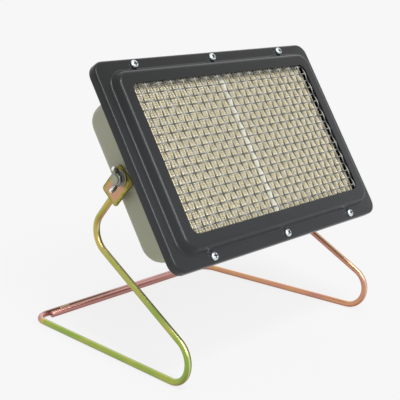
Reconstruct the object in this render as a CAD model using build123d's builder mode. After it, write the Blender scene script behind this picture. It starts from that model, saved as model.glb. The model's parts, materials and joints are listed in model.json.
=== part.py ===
from build123d import *
import os
from math import atan, cos, degrees, radians, sin, tan

os.makedirs("parts", exist_ok=True)

# Portable radiant gas heater: a flat ceramic head that tilts between two bent wire legs.
# Millimetres and degrees. X runs across, the front faces -Y, Z is up, and the origin is on
# the floor under the middle of the whole heater.

# ---- attitude of the head ----
tilt = 32.5                 # head leaned back from upright
pivot_y = -27.64
pivot_z = 166.88
pivot_depth = 34.6          # pivot axis behind the bezel's flange
pivot_rise = 2.33           # pivot axis above the middle of the bezel

# ---- clearances ----
pin_gap = 0.06              # radial, round pins that turn
running_gap = 0.25          # between flat faces that turn against each other
seat_gap = 0.05             # round pieces fixed in each other
sheet_gap = 0.3             # between nested sheet-metal pieces
round_sides = 12            # flats that stand for the rounds of small fasteners and holes

# ---- bezel ----
bezel_over_u = 24.5         # bezel's edge beyond the tiles, at the sides
bezel_over_v = 23.25        # and above and below
bezel_corner_r = 12.0
bezel_sheet = 1.2
rim_depth = 8.3
rim_bevel = 1.4
flange_margin = 11.0        # flat flange round the raised step
step_height = 8.0
step_taper = 26.0
step_corner_r = 16.0
step_bevel = 1.8
window_in_u = 15.2          # window's edge in from the step's foot, at the sides
window_in_v = 15.35         # and above and below
window_corner_r = 7.0

# ---- bezel screws, and the nuts shared with the injector bracket ----
screw_d = 4.0
screw_head_d = 7.6
screw_head_h = 2.6
screw_head_bevel = 1.2
recess_w = 1.0
recess_l = 4.0
recess_depth = 1.3
screw_length = 10.0
screw_end = 45.5            # outer screws in from the bezel's ends
screw_edge = 6.15           # and from its long edges
nut_flats = 7.0
nut_h = 3.2

# ---- mesh screen ----
mesh_wire_d = 1.2           # across the corners of a four-sided wire
mesh_pitch = 7.6
mesh_row_drop = 1.95        # rows sit a little low in the border
mesh_border = 5.0
mesh_margin = 6.5           # border edge in from the step's foot
mesh_corner = 6.0           # border corners cut off

# ---- ceramic tiles, their gasket, tray and diffuser ----
plaque_w = 118.0
plaque_h = 142.0
plaque_t = 13.0
plaque_edge = 1.0
plaque_front = 1.0          # tile face ahead of the bezel's flange
seam_w = 5.0
gasket_t = 1.5
tray_sheet = 0.8
tray_lip = 6.0
diffuser_inset = 10.0       # diffuser wall in from the tray's wall
diffuser_drop = 6.5
slot_l = 58.0
slot_w = 6.0
slot_pitch_u = 70.0
slot_pitch_v = 18.0
slot_columns = 3
slot_rows = 6

# ---- drawn housing: a shallow collar round the tray, then the deeper box ----
housing_sheet = 1.0
collar_room_u = 1.7         # collar wall clear of the tray, at the sides
collar_room_v = 4.2         # and above and below it
collar_depth = 13.0
collar_corner_r = 9.5
box_step_u = 1.5            # box wall in from the collar's, at the sides
box_step_v = 1.0            # and above and below
box_corner_r = 21.5
box_draft = 4.3
housing_depth = 61.5        # back face behind the bezel's flange
housing_bevel = 6.0         # back edge
hollow_bevel = 5.5
pad_r = 11.0                # flat pad pressed out round each stud
pad_rise = 1.4
pad_sides = 24

# ---- mixing tube and gas inlet on the back ----
mixer_u = 58.0
mixer_rise = 55.5           # gas axis above the box's lower wall
mixer_r = 12.0
mixer_sides = 16
mixer_wall = 1.0
bell_r = 17.0
mixer_neck = 1.5            # straight length between bell and elbow
bell_flange_w = 4.5
mixer_room = 3.7            # tube's long run clear of the diffuser
mixer_run = 104.0
bracket_sheet = 1.5
bracket_w = 18.0
bracket_height = 24.0
bracket_foot = 15.0
bracket_bend_r = 3.0
bracket_screw_length = 7.0
bracket_screw_head_h = 2.8
injector_shank_r = 5.0
injector_front = 14.0       # shank length inside the bracket
injector_hex = 14.0
injector_hex_h = 7.0
injector_bore_r = 4.0
injector_bore_depth = 9.0
jet_r = 2.5
jet_length = 9.0
jet_hex = 7.0
jet_hex_h = 4.0
jet_bore_r = 1.0
locknut_h = 5.0
nozzle_hex_h = 6.0
nozzle_r = 4.5
nozzle_plain = 10.0
nozzle_bore_r = 2.6
barb_r = 4.5
barb_bevel = 1.0
barb_pitch = 4.5
barb_count = 3

# ---- pivot hardware ----
stud_r = 4.0
stud_head_r = 9.0
stud_head_h = 1.5
stud_reach = 6.5            # stud end beyond the washer
stud_point = 0.5
spacer_r = 7.0
washer_r = 7.2
washer_t = 1.6
nut_base_r = 6.6
nut_hub_h = 4.6
nut_hub_bevel = 1.2
wing_t = 2.4
wing_root = 1.2             # underside of the wings above the nut's base
wing_span_r = 12.3
wing_rise = 9.6
wing_tip_l = 4.2
wing_tip_r = 2.0
wing_lean = 9.0             # wings turned from upright

# ---- wire stand ----
wire_d = 6.0
wire_sides = 12             # flats that stand for the round of the wire
leg_tuck = 4.75             # leg centre-line at the rear bar, in from the box's wall
leg_splay = 3.3             # legs spread towards the toe
leg_lean = 0.35             # and close in with height
rear_y = 107.93
bar_gap = 0.1
tail_short = 13.25          # tail ends short of the other leg's centre-line
front_leg_angle = 29.3
knee_length = 68.0          # from the plate's middle to the knee corner
knee_r = 20.0
toe_r = 20.4
rear_corner_r = 9.5
plate_l = 33.0
plate_w = 22.0
plate_t = 2.0
plate_corner_r = 3.0
plate_angle = 49.0
plate_slide = 8.75          # pivot hole above the plate's middle
plate_shift = 1.1           # pivot hole behind the plate's middle
plate_overlap = 10.0        # wire lapped under the plate
weld_leg = 5.5
weld_depth = 5.0
weld_short = 1.0            # weld ends short of the wire's end
bar_weld_in = 22.0          # middle of each weld in from the tail's end
bar_weld_l = 12.0
bar_weld_r = 1.6

# ---- frames and sizes worked out from the values above ----
lean = radians(tilt)
across = Vector(1, 0, 0)
outward = Vector(0, -cos(lean), sin(lean))
upward = Vector(0, sin(lean), cos(lean))
pivot = Vector(0, pivot_y, pivot_z)
face_middle = pivot + outward * pivot_depth - upward * pivot_rise
face = Plane(origin=face_middle, x_dir=across, z_dir=outward)
outward_axis = Axis(face_middle, outward)
screw_hole_r = screw_d / 2 + sheet_gap

pair_w = 2 * plaque_w + seam_w
bezel_w = pair_w + 2 * bezel_over_u
bezel_h = plaque_h + 2 * bezel_over_v
screw_pitch_u = bezel_w / 2 - screw_end
screw_pitch_v = bezel_h - 2 * screw_edge
step_w = bezel_w - 2 * flange_margin
step_h = bezel_h - 2 * flange_margin
step_draw = tan(radians(step_taper))
step_shift = bezel_sheet * (1 / cos(radians(step_taper)) - step_draw)
window_w = step_w - 2 * window_in_u
window_h = step_h - 2 * window_in_v
mesh_w = step_w - 2 * mesh_margin
mesh_h = step_h - 2 * mesh_margin
mesh_columns = round((mesh_w - 2 * mesh_border) / mesh_pitch)
mesh_rows = round((mesh_h - 2 * mesh_border) / mesh_pitch)
tray_back = plaque_front - plaque_t         # inner face of the tray's lip
pocket_w = pair_w + 2 * gasket_t
pocket_h = plaque_h + 2 * gasket_t
tray_w = pocket_w + 2 * tray_sheet
tray_h = pocket_h + 2 * tray_sheet
flange_w = bezel_w - 2 * bezel_sheet - 2 * sheet_gap
flange_h = bezel_h - 2 * bezel_sheet - 2 * sheet_gap
flange_corner_r = bezel_corner_r - bezel_sheet - sheet_gap
housing_front = -bezel_sheet - tray_sheet   # front face of the housing's flange
collar_w = tray_w + 2 * collar_room_u + 2 * housing_sheet
collar_h = tray_h + 2 * collar_room_v + 2 * housing_sheet
box_front = housing_front - collar_depth    # where the box leaves the collar
box_w = collar_w - 2 * box_step_u
box_h = collar_h - 2 * box_step_v
box_drop = housing_depth + box_front
box_draw = tan(radians(box_draft))
pad_x = box_w / 2 - (pivot_depth + box_front - pad_r) * box_draw - housing_sheet + pad_rise
back_inside = housing_sheet - housing_depth
web_back = -housing_depth - bracket_height - bracket_sheet
diffuser_top = tray_back - tray_sheet
diffuser_back = diffuser_top - diffuser_drop
mixer_v = mixer_rise - box_h / 2
elbow_level = diffuser_back - mixer_room - mixer_r
bell_length = elbow_level - back_inside - mixer_r - mixer_neck
rear_half_w = box_w / 2 - leg_tuck
tail_reach = rear_half_w - tail_short


def head_point(u, v, n):
    return face_middle + across * u + upward * v + outward * n


def facing(u, v, n, z_dir):
    """Work plane square to the head, at a point of it."""
    return Plane(origin=head_point(u, v, n), x_dir=across, z_dir=z_dir)


# ---- bezel: pressed frame with raised step, window and turned-back rim ----
with BuildPart() as bezel:
    with BuildSketch(face.offset(-rim_depth)):
        RectangleRounded(bezel_w, bezel_h, bezel_corner_r)
    extrude(amount=rim_depth)
    chamfer(bezel.faces().sort_by(outward_axis)[-1].edges(), length=rim_bevel)
    with BuildSketch(face):
        RectangleRounded(step_w, step_h, step_corner_r)
    extrude(amount=step_height, taper=step_taper)
    chamfer(bezel.faces().sort_by(outward_axis)[-1].edges(), length=step_bevel)

    # the hollow underside, one sheet thickness in
    with BuildSketch(face.offset(-rim_depth)):
        RectangleRounded(bezel_w - 2 * bezel_sheet, bezel_h - 2 * bezel_sheet,
                         bezel_corner_r - bezel_sheet)
    extrude(amount=rim_depth - bezel_sheet, mode=Mode.SUBTRACT)
    with BuildSketch(face.offset(-bezel_sheet)):
        RectangleRounded(step_w - 2 * step_shift, step_h - 2 * step_shift, step_corner_r)
    extrude(amount=step_height, taper=step_taper, mode=Mode.SUBTRACT)

    with BuildSketch(face.offset(step_height)):
        RectangleRounded(window_w, window_h, window_corner_r)
    extrude(amount=-2 * bezel_sheet, mode=Mode.SUBTRACT)
    with BuildSketch(face):
        with GridLocations(screw_pitch_u, screw_pitch_v, 3, 2):
            RegularPolygon(screw_hole_r, round_sides)
    extrude(amount=-bezel_sheet, mode=Mode.SUBTRACT)
bezel.part.label = "bezel"
export_step(bezel.part, "parts/bezel.step")

# ---- bezel screws: pan heads with a cross recess ----
bezel_spots = []
for column in (-1, 0, 1):
    for row in (-1, 1):
        bezel_spots.append((column * screw_pitch_u, row * screw_pitch_v / 2))

with BuildPart() as bezel_screws:
    with BuildSketch(face):
        with Locations(*bezel_spots):
            RegularPolygon(screw_head_d / 2, round_sides)
    extrude(amount=screw_head_h)
    head_tops = bezel_screws.faces().group_by(outward_axis)[-1]
    chamfer(head_tops.edges(), length=screw_head_bevel)
    with BuildSketch(face):
        with Locations(*bezel_spots):
            RegularPolygon(screw_d / 2, round_sides)
    extrude(amount=-screw_length)
    with BuildSketch(face.offset(screw_head_h)):
        with Locations(*bezel_spots):
            Rectangle(recess_l, recess_w, rotation=45)
            Rectangle(recess_l, recess_w, rotation=-45)
    extrude(amount=-recess_depth, mode=Mode.SUBTRACT)
bezel_screws.part.label = "bezel_screws"
export_step(bezel_screws.part, "parts/bezel_screws.step")


def hex_nuts(seat, spots):
    with BuildPart() as nuts:
        with BuildSketch(seat):
            with Locations(*spots):
                RegularPolygon(nut_flats / 2, 6, major_radius=False, rotation=30)
                RegularPolygon(screw_d / 2 + seat_gap, round_sides, mode=Mode.SUBTRACT)
        extrude(amount=nut_h)
    return nuts.part


bezel_nuts = hex_nuts(facing(0, 0, housing_front - housing_sheet, -outward), bezel_spots)
bezel_nuts.label = "bezel_nuts"
export_step(bezel_nuts, "parts/bezel_nuts.step")

# ---- mesh screen: two layers of wires fixed in a folded border ----
mesh_front = step_height - bezel_sheet
mesh_t = 2 * mesh_wire_d + seat_gap
with BuildPart() as mesh_screen:
    with BuildSketch(face.offset(mesh_front - mesh_t)):
        border = Rectangle(mesh_w, mesh_h)
        chamfer(border.vertices(), length=mesh_corner)
        Rectangle(mesh_w - 2 * mesh_border, mesh_h - 2 * mesh_border, mode=Mode.SUBTRACT)
    extrude(amount=mesh_t)
    column_foot = head_point(0, -(mesh_h - mesh_border) / 2, mesh_front - mesh_wire_d / 2)
    with BuildSketch(Plane(origin=column_foot, x_dir=across, z_dir=upward)):
        with GridLocations(mesh_pitch, 1, mesh_columns, 1):
            RegularPolygon(mesh_wire_d / 2, 4)
    extrude(amount=mesh_h - mesh_border)
    row_foot = head_point(-(mesh_w - mesh_border) / 2, -mesh_row_drop,
                          mesh_front - mesh_t + mesh_wire_d / 2)
    with BuildSketch(Plane(origin=row_foot, x_dir=upward, z_dir=across)):
        with GridLocations(mesh_pitch, 1, mesh_rows, 1):
            RegularPolygon(mesh_wire_d / 2, 4)
    extrude(amount=mesh_w - mesh_border)
mesh_screen.part.label = "mesh_screen"
export_step(mesh_screen.part, "parts/mesh_screen.step")

# ---- the two ceramic tiles and the cement between them ----
for side, side_name in ((-1, "left"), (1, "right")):
    with BuildPart() as plaque:
        with BuildSketch(facing(side * (plaque_w + seam_w) / 2, 0, tray_back, outward)):
            Rectangle(plaque_w, plaque_h)
        extrude(amount=plaque_t)
        chamfer(plaque.faces().sort_by(outward_axis)[-1].edges(), length=plaque_edge)
    plaque.part.label = side_name + "_plaque"
    export_step(plaque.part, "parts/" + side_name + "_plaque.step")

with BuildPart() as plaque_seam:
    with BuildSketch(face.offset(tray_back)):
        Rectangle(seam_w, plaque_h)
    extrude(amount=plaque_t - plaque_edge / 2)
plaque_seam.part.label = "plaque_seam"
export_step(plaque_seam.part, "parts/plaque_seam.step")

with BuildPart() as plaque_gasket:
    with BuildSketch(face.offset(tray_back)):
        Rectangle(pocket_w, pocket_h)
        Rectangle(pair_w, plaque_h, mode=Mode.SUBTRACT)
    extrude(amount=-bezel_sheet - tray_back)
plaque_gasket.part.label = "plaque_gasket"
export_step(plaque_gasket.part, "parts/plaque_gasket.step")

# ---- tray: flange between bezel and housing, pocket round the tiles, lip behind them ----
with BuildPart() as plaque_tray:
    with BuildSketch(face.offset(-bezel_sheet)):
        RectangleRounded(flange_w, flange_h, flange_corner_r)
    extrude(amount=-tray_sheet)
    with BuildSketch(face.offset(-bezel_sheet)):
        Rectangle(tray_w, tray_h)
    extrude(amount=tray_back - tray_sheet + bezel_sheet)
    with BuildSketch(face.offset(-bezel_sheet)):
        Rectangle(pocket_w, pocket_h)
    extrude(amount=tray_back + bezel_sheet, mode=Mode.SUBTRACT)
    with BuildSketch(face.offset(tray_back)):
        Rectangle(pocket_w - 2 * tray_lip, pocket_h - 2 * tray_lip)
    extrude(amount=-2 * tray_sheet, mode=Mode.SUBTRACT)
    with BuildSketch(face):
        with GridLocations(screw_pitch_u, screw_pitch_v, 3, 2):
            RegularPolygon(screw_hole_r, round_sides)
    extrude(amount=housing_front, mode=Mode.SUBTRACT)
plaque_tray.part.label = "plaque_tray"
export_step(plaque_tray.part, "parts/plaque_tray.step")

# ---- diffuser: slotted pan whose walls stand on the back of the tray's lip ----
diffuser_w = tray_w - 2 * diffuser_inset
diffuser_h = tray_h - 2 * diffuser_inset
with BuildPart() as diffuser_plate:
    with BuildSketch(face.offset(diffuser_top)):
        Rectangle(diffuser_w, diffuser_h)
    extrude(amount=-diffuser_drop)
    with BuildSketch(face.offset(diffuser_top)):
        Rectangle(diffuser_w - 2 * tray_sheet, diffuser_h - 2 * tray_sheet)
    extrude(amount=tray_sheet - diffuser_drop, mode=Mode.SUBTRACT)
    with BuildSketch(face.offset(diffuser_top)):
        with GridLocations(slot_pitch_u, slot_pitch_v, slot_columns, slot_rows):
            Rectangle(slot_l, slot_w)
    extrude(amount=-diffuser_drop, mode=Mode.SUBTRACT)
diffuser_plate.part.label = "diffuser_plate"
export_step(diffuser_plate.part, "parts/diffuser_plate.step")

# ---- housing: flange, collar and deep-drawn box, two pivot pads and the air hole ----
with BuildPart() as box_hollow:
    with BuildSketch(facing(0, 0, box_front, -outward)):
        RectangleRounded(box_w - 2 * housing_sheet, box_h - 2 * housing_sheet,
                         box_corner_r - housing_sheet)
    extrude(amount=box_drop - housing_sheet, taper=box_draft)
    chamfer(box_hollow.faces().sort_by(outward_axis)[0].edges(), length=hollow_bevel)

foot_middle = bell_r + bracket_sheet + bracket_foot / 2     # bracket screws from the gas axis
foot_spots = [(-foot_middle, 0), (foot_middle, 0)]
with BuildPart() as housing:
    with BuildSketch(facing(0, 0, box_front, -outward)):
        RectangleRounded(box_w, box_h, box_corner_r)
    extrude(amount=box_drop, taper=box_draft)
    chamfer(housing.faces().sort_by(outward_axis)[0].edges(), length=housing_bevel)
    add(box_hollow.part, mode=Mode.SUBTRACT)
    with BuildSketch(face.offset(housing_front)):
        RectangleRounded(flange_w, flange_h, flange_corner_r)
    extrude(amount=-housing_sheet)
    with BuildSketch(face.offset(housing_front)):
        RectangleRounded(collar_w, collar_h, collar_corner_r)
    extrude(amount=-collar_depth)
    with BuildSketch(face.offset(housing_front)):
        RectangleRounded(collar_w - 2 * housing_sheet, collar_h - 2 * housing_sheet,
                         collar_corner_r - housing_sheet)
    extrude(amount=housing_sheet - collar_depth, mode=Mode.SUBTRACT)
    with BuildSketch(face.offset(box_front)):
        RectangleRounded(box_w - 2 * housing_sheet, box_h - 2 * housing_sheet,
                         box_corner_r - housing_sheet)
    extrude(amount=housing_sheet, mode=Mode.SUBTRACT)
    for side in (-1, 1):
        outside = Plane(origin=pivot + across * side * pad_x, x_dir=outward, z_dir=across * -side)
        with BuildSketch(outside):
            RegularPolygon(pad_r, pad_sides)
        extrude(amount=2 * housing_sheet + pad_rise)
        with BuildSketch(outside.offset(housing_sheet)):
            RegularPolygon(pad_r - housing_sheet, pad_sides)
        extrude(amount=pad_r, mode=Mode.SUBTRACT)
        with BuildSketch(outside):
            RegularPolygon(stud_r + seat_gap, round_sides, major_radius=False)
        extrude(amount=housing_sheet, mode=Mode.SUBTRACT)
    with BuildSketch(face):
        with GridLocations(screw_pitch_u, screw_pitch_v, 3, 2):
            RegularPolygon(screw_hole_r, round_sides)
    extrude(amount=housing_front - housing_sheet, mode=Mode.SUBTRACT)
    with BuildSketch(facing(mixer_u, mixer_v, -housing_depth, outward)):
        RegularPolygon(bell_r, mixer_sides, major_radius=False)
        with Locations(*foot_spots):
            RegularPolygon(screw_hole_r, round_sides)
    extrude(amount=2 * housing_sheet, mode=Mode.SUBTRACT)
housing.part.label = "housing"
export_step(housing.part, "parts/housing.step")

# ---- mixing tube: bell mouth on the back wall, mitred elbow, run across the inside ----
elbow_start = back_inside + bell_length
bell_taper = degrees(atan((bell_r + mixer_wall - mixer_r) / bell_length))
bell_seat = facing(mixer_u, mixer_v, back_inside, outward)
elbow_seat = facing(mixer_u, mixer_v, elbow_start, outward)
with BuildPart() as mixer_tube:
    with BuildSketch(bell_seat):
        RegularPolygon(bell_r + bell_flange_w, mixer_sides, major_radius=False)
    extrude(amount=mixer_wall)
    with BuildSketch(bell_seat):
        RegularPolygon(bell_r + mixer_wall, mixer_sides, major_radius=False)
    extrude(amount=bell_length, taper=bell_taper)
    with BuildLine() as mixer_path:
        Polyline(head_point(mixer_u, mixer_v, elbow_start),
                 head_point(mixer_u, mixer_v, elbow_level),
                 head_point(mixer_u - mixer_run, mixer_v, elbow_level))
    with BuildSketch(elbow_seat):
        RegularPolygon(mixer_r, mixer_sides, major_radius=False)
    sweep(path=mixer_path.line, transition=Transition.RIGHT)

    # the bore
    with BuildSketch(bell_seat):
        RegularPolygon(bell_r, mixer_sides, major_radius=False)
    extrude(amount=bell_length, taper=bell_taper, mode=Mode.SUBTRACT)
    with BuildSketch(elbow_seat):
        RegularPolygon(mixer_r - mixer_wall, mixer_sides, major_radius=False)
    sweep(path=mixer_path.line, transition=Transition.RIGHT, mode=Mode.SUBTRACT)
mixer_tube.part.label = "mixer_tube"
export_step(mixer_tube.part, "parts/mixer_tube.step")

# ---- injector bracket: strap bridging the air hole, with its two screws and nuts ----
leg_u = bell_r + bracket_sheet
foot_u = leg_u + bracket_foot
strap_level = -housing_depth - bracket_sheet / 2
with BuildPart() as injector_bracket:
    with BuildLine() as strap_path:
        FilletPolyline(head_point(mixer_u - foot_u, mixer_v, strap_level),
                       head_point(mixer_u - leg_u, mixer_v, strap_level),
                       head_point(mixer_u - leg_u, mixer_v, strap_level - bracket_height),
                       head_point(mixer_u + leg_u, mixer_v, strap_level - bracket_height),
                       head_point(mixer_u + leg_u, mixer_v, strap_level),
                       head_point(mixer_u + foot_u, mixer_v, strap_level),
                       radius=bracket_bend_r)
    with BuildSketch(Plane(origin=strap_path.line @ 0, x_dir=upward, z_dir=across)):
        Rectangle(bracket_w, bracket_sheet)
    sweep(path=strap_path.line)
    with BuildSketch(facing(mixer_u, mixer_v, web_back, outward)):
        RegularPolygon(injector_shank_r + seat_gap, round_sides, major_radius=False)
    extrude(amount=2 * bracket_sheet, mode=Mode.SUBTRACT)
    with BuildSketch(facing(mixer_u, mixer_v, -housing_depth, outward)):
        with Locations(*foot_spots):
            RegularPolygon(screw_hole_r, round_sides)
    extrude(amount=-2 * bracket_sheet, mode=Mode.SUBTRACT)
injector_bracket.part.label = "injector_bracket"
export_step(injector_bracket.part, "parts/injector_bracket.step")

foot_seat = facing(mixer_u, mixer_v, -housing_depth - bracket_sheet, -outward)
with BuildPart() as injector_bracket_screws:
    with BuildSketch(foot_seat):
        with Locations(*foot_spots):
            RegularPolygon(nut_flats / 2, 6, major_radius=False, rotation=30)
    extrude(amount=bracket_screw_head_h)
    with BuildSketch(foot_seat):
        with Locations(*foot_spots):
            RegularPolygon(screw_d / 2, round_sides)
    extrude(amount=-bracket_screw_length)
injector_bracket_screws.part.label = "injector_bracket_screws"
export_step(injector_bracket_screws.part, "parts/injector_bracket_screws.step")

injector_bracket_nuts = hex_nuts(facing(mixer_u, mixer_v, back_inside, outward), foot_spots)
injector_bracket_nuts.label = "injector_bracket_nuts"
export_step(injector_bracket_nuts, "parts/injector_bracket_nuts.step")

# ---- injector body, jet, locknut and hose nozzle, all on the gas axis ----
gas_axis = facing(mixer_u, mixer_v, web_back, -outward)
jet_seat = gas_axis.offset(-injector_front)
with BuildPart() as injector_body:
    with BuildSketch(gas_axis):
        RegularPolygon(injector_hex / 2, 6, major_radius=False)
    extrude(amount=injector_hex_h)
    with BuildSketch(gas_axis):
        RegularPolygon(injector_shank_r, round_sides)
    extrude(amount=-injector_front)
    with BuildSketch(gas_axis.offset(injector_hex_h)):
        RegularPolygon(injector_bore_r, round_sides, major_radius=False)
    extrude(amount=-injector_bore_depth, mode=Mode.SUBTRACT)
    with BuildSketch(jet_seat):
        RegularPolygon(jet_r + seat_gap, round_sides, major_radius=False)
    extrude(amount=injector_front, mode=Mode.SUBTRACT)
injector_body.part.label = "injector_body"
export_step(injector_body.part, "parts/injector_body.step")

with BuildPart() as injector_locknut:
    with BuildSketch(gas_axis.offset(-bracket_sheet)):
        RegularPolygon(injector_hex / 2, 6, major_radius=False)
        RegularPolygon(injector_shank_r + seat_gap, round_sides, major_radius=False,
                       mode=Mode.SUBTRACT)
    extrude(amount=-locknut_h)
injector_locknut.part.label = "injector_locknut"
export_step(injector_locknut.part, "parts/injector_locknut.step")

with BuildPart() as injector_jet:
    with BuildSketch(jet_seat):
        RegularPolygon(jet_hex / 2, 6, major_radius=False)
    extrude(amount=-jet_hex_h)
    with BuildSketch(jet_seat):
        RegularPolygon(jet_r, round_sides)
    extrude(amount=jet_length)
    with BuildSketch(jet_seat.offset(jet_length)):
        RegularPolygon(jet_bore_r, round_sides)
    extrude(amount=-jet_length - jet_hex_h, mode=Mode.SUBTRACT)
injector_jet.part.label = "injector_jet"
export_step(injector_jet.part, "parts/injector_jet.step")

spigot_start = injector_hex_h + nozzle_hex_h
with BuildPart() as hose_nozzle:
    with BuildSketch(gas_axis.offset(injector_hex_h)):
        RegularPolygon(injector_hex / 2, 6, major_radius=False)
    extrude(amount=nozzle_hex_h)
    with BuildSketch(gas_axis.offset(injector_hex_h)):
        RegularPolygon(injector_bore_r - seat_gap, round_sides)
    extrude(amount=-injector_bore_depth)
    with BuildSketch(gas_axis.offset(spigot_start)):
        Circle(nozzle_r)
    extrude(amount=nozzle_plain)
    for barb in range(barb_count):
        with BuildSketch(gas_axis.offset(spigot_start + nozzle_plain + barb * barb_pitch)):
            RegularPolygon(barb_r, round_sides)
        extrude(amount=barb_pitch)
        barb_end = hose_nozzle.faces().sort_by(outward_axis)[0]
        chamfer(barb_end.edges(), length=barb_bevel)
    with BuildSketch(gas_axis.offset(injector_hex_h - injector_bore_depth)):
        RegularPolygon(nozzle_bore_r, round_sides)
    nozzle_l = injector_bore_depth + nozzle_hex_h + nozzle_plain + barb_count * barb_pitch
    extrude(amount=nozzle_l, mode=Mode.SUBTRACT)
hose_nozzle.part.label = "hose_nozzle"
export_step(hose_nozzle.part, "parts/hose_nozzle.step")

# ---- stand geometry in side view ----
plate_up = Vector(0, -cos(radians(plate_angle)), sin(radians(plate_angle)))
plate_front = Vector(0, -sin(radians(plate_angle)), -cos(radians(plate_angle)))
wire_r = wire_d / 2
plate_middle = pivot - plate_up * plate_slide + plate_front * plate_shift
wire_top = plate_middle - plate_up * (plate_l / 2 - plate_overlap)
knee = plate_middle - plate_up * knee_length
toe_y = knee.Y - (knee.Z - wire_r) / tan(radians(front_leg_angle))


def leg_x(y, z):
    """Distance of a leg's centre-line from the middle, at one depth and height."""
    return rear_half_w + (rear_y - y) * tan(radians(leg_splay)) - z * tan(radians(leg_lean))


def pivot_plane(side, x):
    """Plane square to the pivot, facing away from the head on one side."""
    return Plane(origin=pivot + across * side * x, x_dir=plate_up, z_dir=across * side)


plate_x = leg_x(wire_top.Y, wire_top.Z) + wire_r + seat_gap     # plate's inner face
washer_x = plate_x + plate_t + running_gap          # inner face of the washer
wing_seat_x = washer_x + washer_t + running_gap
pad_inside = pad_x - housing_sheet
weld_top = plate_middle - plate_up * (plate_l / 2)

# ---- legs: one wire each, from the plate by knee and toe to its half of the rear bar ----
wire_ends = []
for side, side_name in ((-1, "left"), (1, "right")):
    bar_y = rear_y if side < 0 else rear_y - wire_d - bar_gap
    with BuildPart() as leg_wire:
        with BuildLine() as leg_path:
            FilletPolyline((side * leg_x(wire_top.Y, wire_top.Z), wire_top.Y, wire_top.Z),
                           (side * leg_x(knee.Y, knee.Z), knee.Y, knee.Z),
                           (side * leg_x(toe_y, wire_r), toe_y, wire_r),
                           (side * leg_x(bar_y, wire_r), bar_y, wire_r),
                           (-side * tail_reach, bar_y, wire_r),
                           radius=(knee_r, toe_r, rear_corner_r))
        wire_end = Plane(origin=leg_path.line @ 0, z_dir=leg_path.line % 0)
        wire_ends.append(wire_end)
        with BuildSketch(wire_end):
            RegularPolygon(wire_r, wire_sides)
        sweep(path=leg_path.line)
    leg_wire.part.label = side_name + "_leg_wire"
    export_step(leg_wire.part, "parts/" + side_name + "_leg_wire.step")

# ---- bracket plates, square to the pivot, and the welds under them ----
with BuildPart() as bracket_plates:
    for side in (-1, 1):
        middle = plate_middle + across * side * plate_x
        with BuildSketch(Plane(origin=middle, x_dir=plate_up, z_dir=across * side)):
            RectangleRounded(plate_l, plate_w, plate_corner_r)
        extrude(amount=plate_t)
        with BuildSketch(pivot_plane(side, plate_x)):
            Circle(stud_r + pin_gap)
        extrude(amount=plate_t, mode=Mode.SUBTRACT)
bracket_plates.part.label = "bracket_plates"
export_step(bracket_plates.part, "parts/bracket_plates.step")

with BuildPart() as bracket_welds:
    for side, wire_end in zip((-1, 1), wire_ends):
        with BuildSketch(Plane(origin=weld_top + across * side * plate_x, x_dir=plate_front,
                               z_dir=plate_up)):
            Polygon((-weld_leg, 0), (weld_leg, 0), (0, -side * weld_depth), align=None)
        extrude(amount=plate_overlap - weld_short)
        with BuildSketch(wire_end):
            Circle(wire_r + seat_gap)
        extrude(amount=2 * plate_l, both=True, mode=Mode.SUBTRACT)
bracket_welds.part.label = "bracket_welds"
export_step(bracket_welds.part, "parts/bracket_welds.step")

# ---- studs, spacers and washers, fixed on the head ----
with BuildPart() as pivot_studs:
    for side in (-1, 1):
        with BuildSketch(pivot_plane(side, pad_inside - stud_head_h)):
            RegularPolygon(stud_head_r, round_sides)
        extrude(amount=stud_head_h)
        with BuildSketch(pivot_plane(side, pad_inside)):
            Circle(stud_r)
        extrude(amount=washer_x + washer_t + stud_reach - pad_inside)
    for stud_end in (Axis.X, -Axis.X):
        chamfer(pivot_studs.faces().sort_by(stud_end)[-1].edges(), length=stud_point)
pivot_studs.part.label = "pivot_studs"
export_step(pivot_studs.part, "parts/pivot_studs.step")

with BuildPart() as pivot_spacers:
    for side in (-1, 1):
        with BuildSketch(pivot_plane(side, pad_x)):
            Circle(spacer_r)
            RegularPolygon(stud_r + seat_gap, round_sides, major_radius=False,
                           mode=Mode.SUBTRACT)
        extrude(amount=plate_x - running_gap - pad_x)
pivot_spacers.part.label = "pivot_spacers"
export_step(pivot_spacers.part, "parts/pivot_spacers.step")

with BuildPart() as pivot_washers:
    for side in (-1, 1):
        with BuildSketch(pivot_plane(side, washer_x)):
            Circle(washer_r)
            RegularPolygon(stud_r + seat_gap, round_sides, major_radius=False,
                           mode=Mode.SUBTRACT)
        extrude(amount=washer_t)
pivot_washers.part.label = "pivot_washers"
export_step(pivot_washers.part, "parts/pivot_washers.step")

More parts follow.
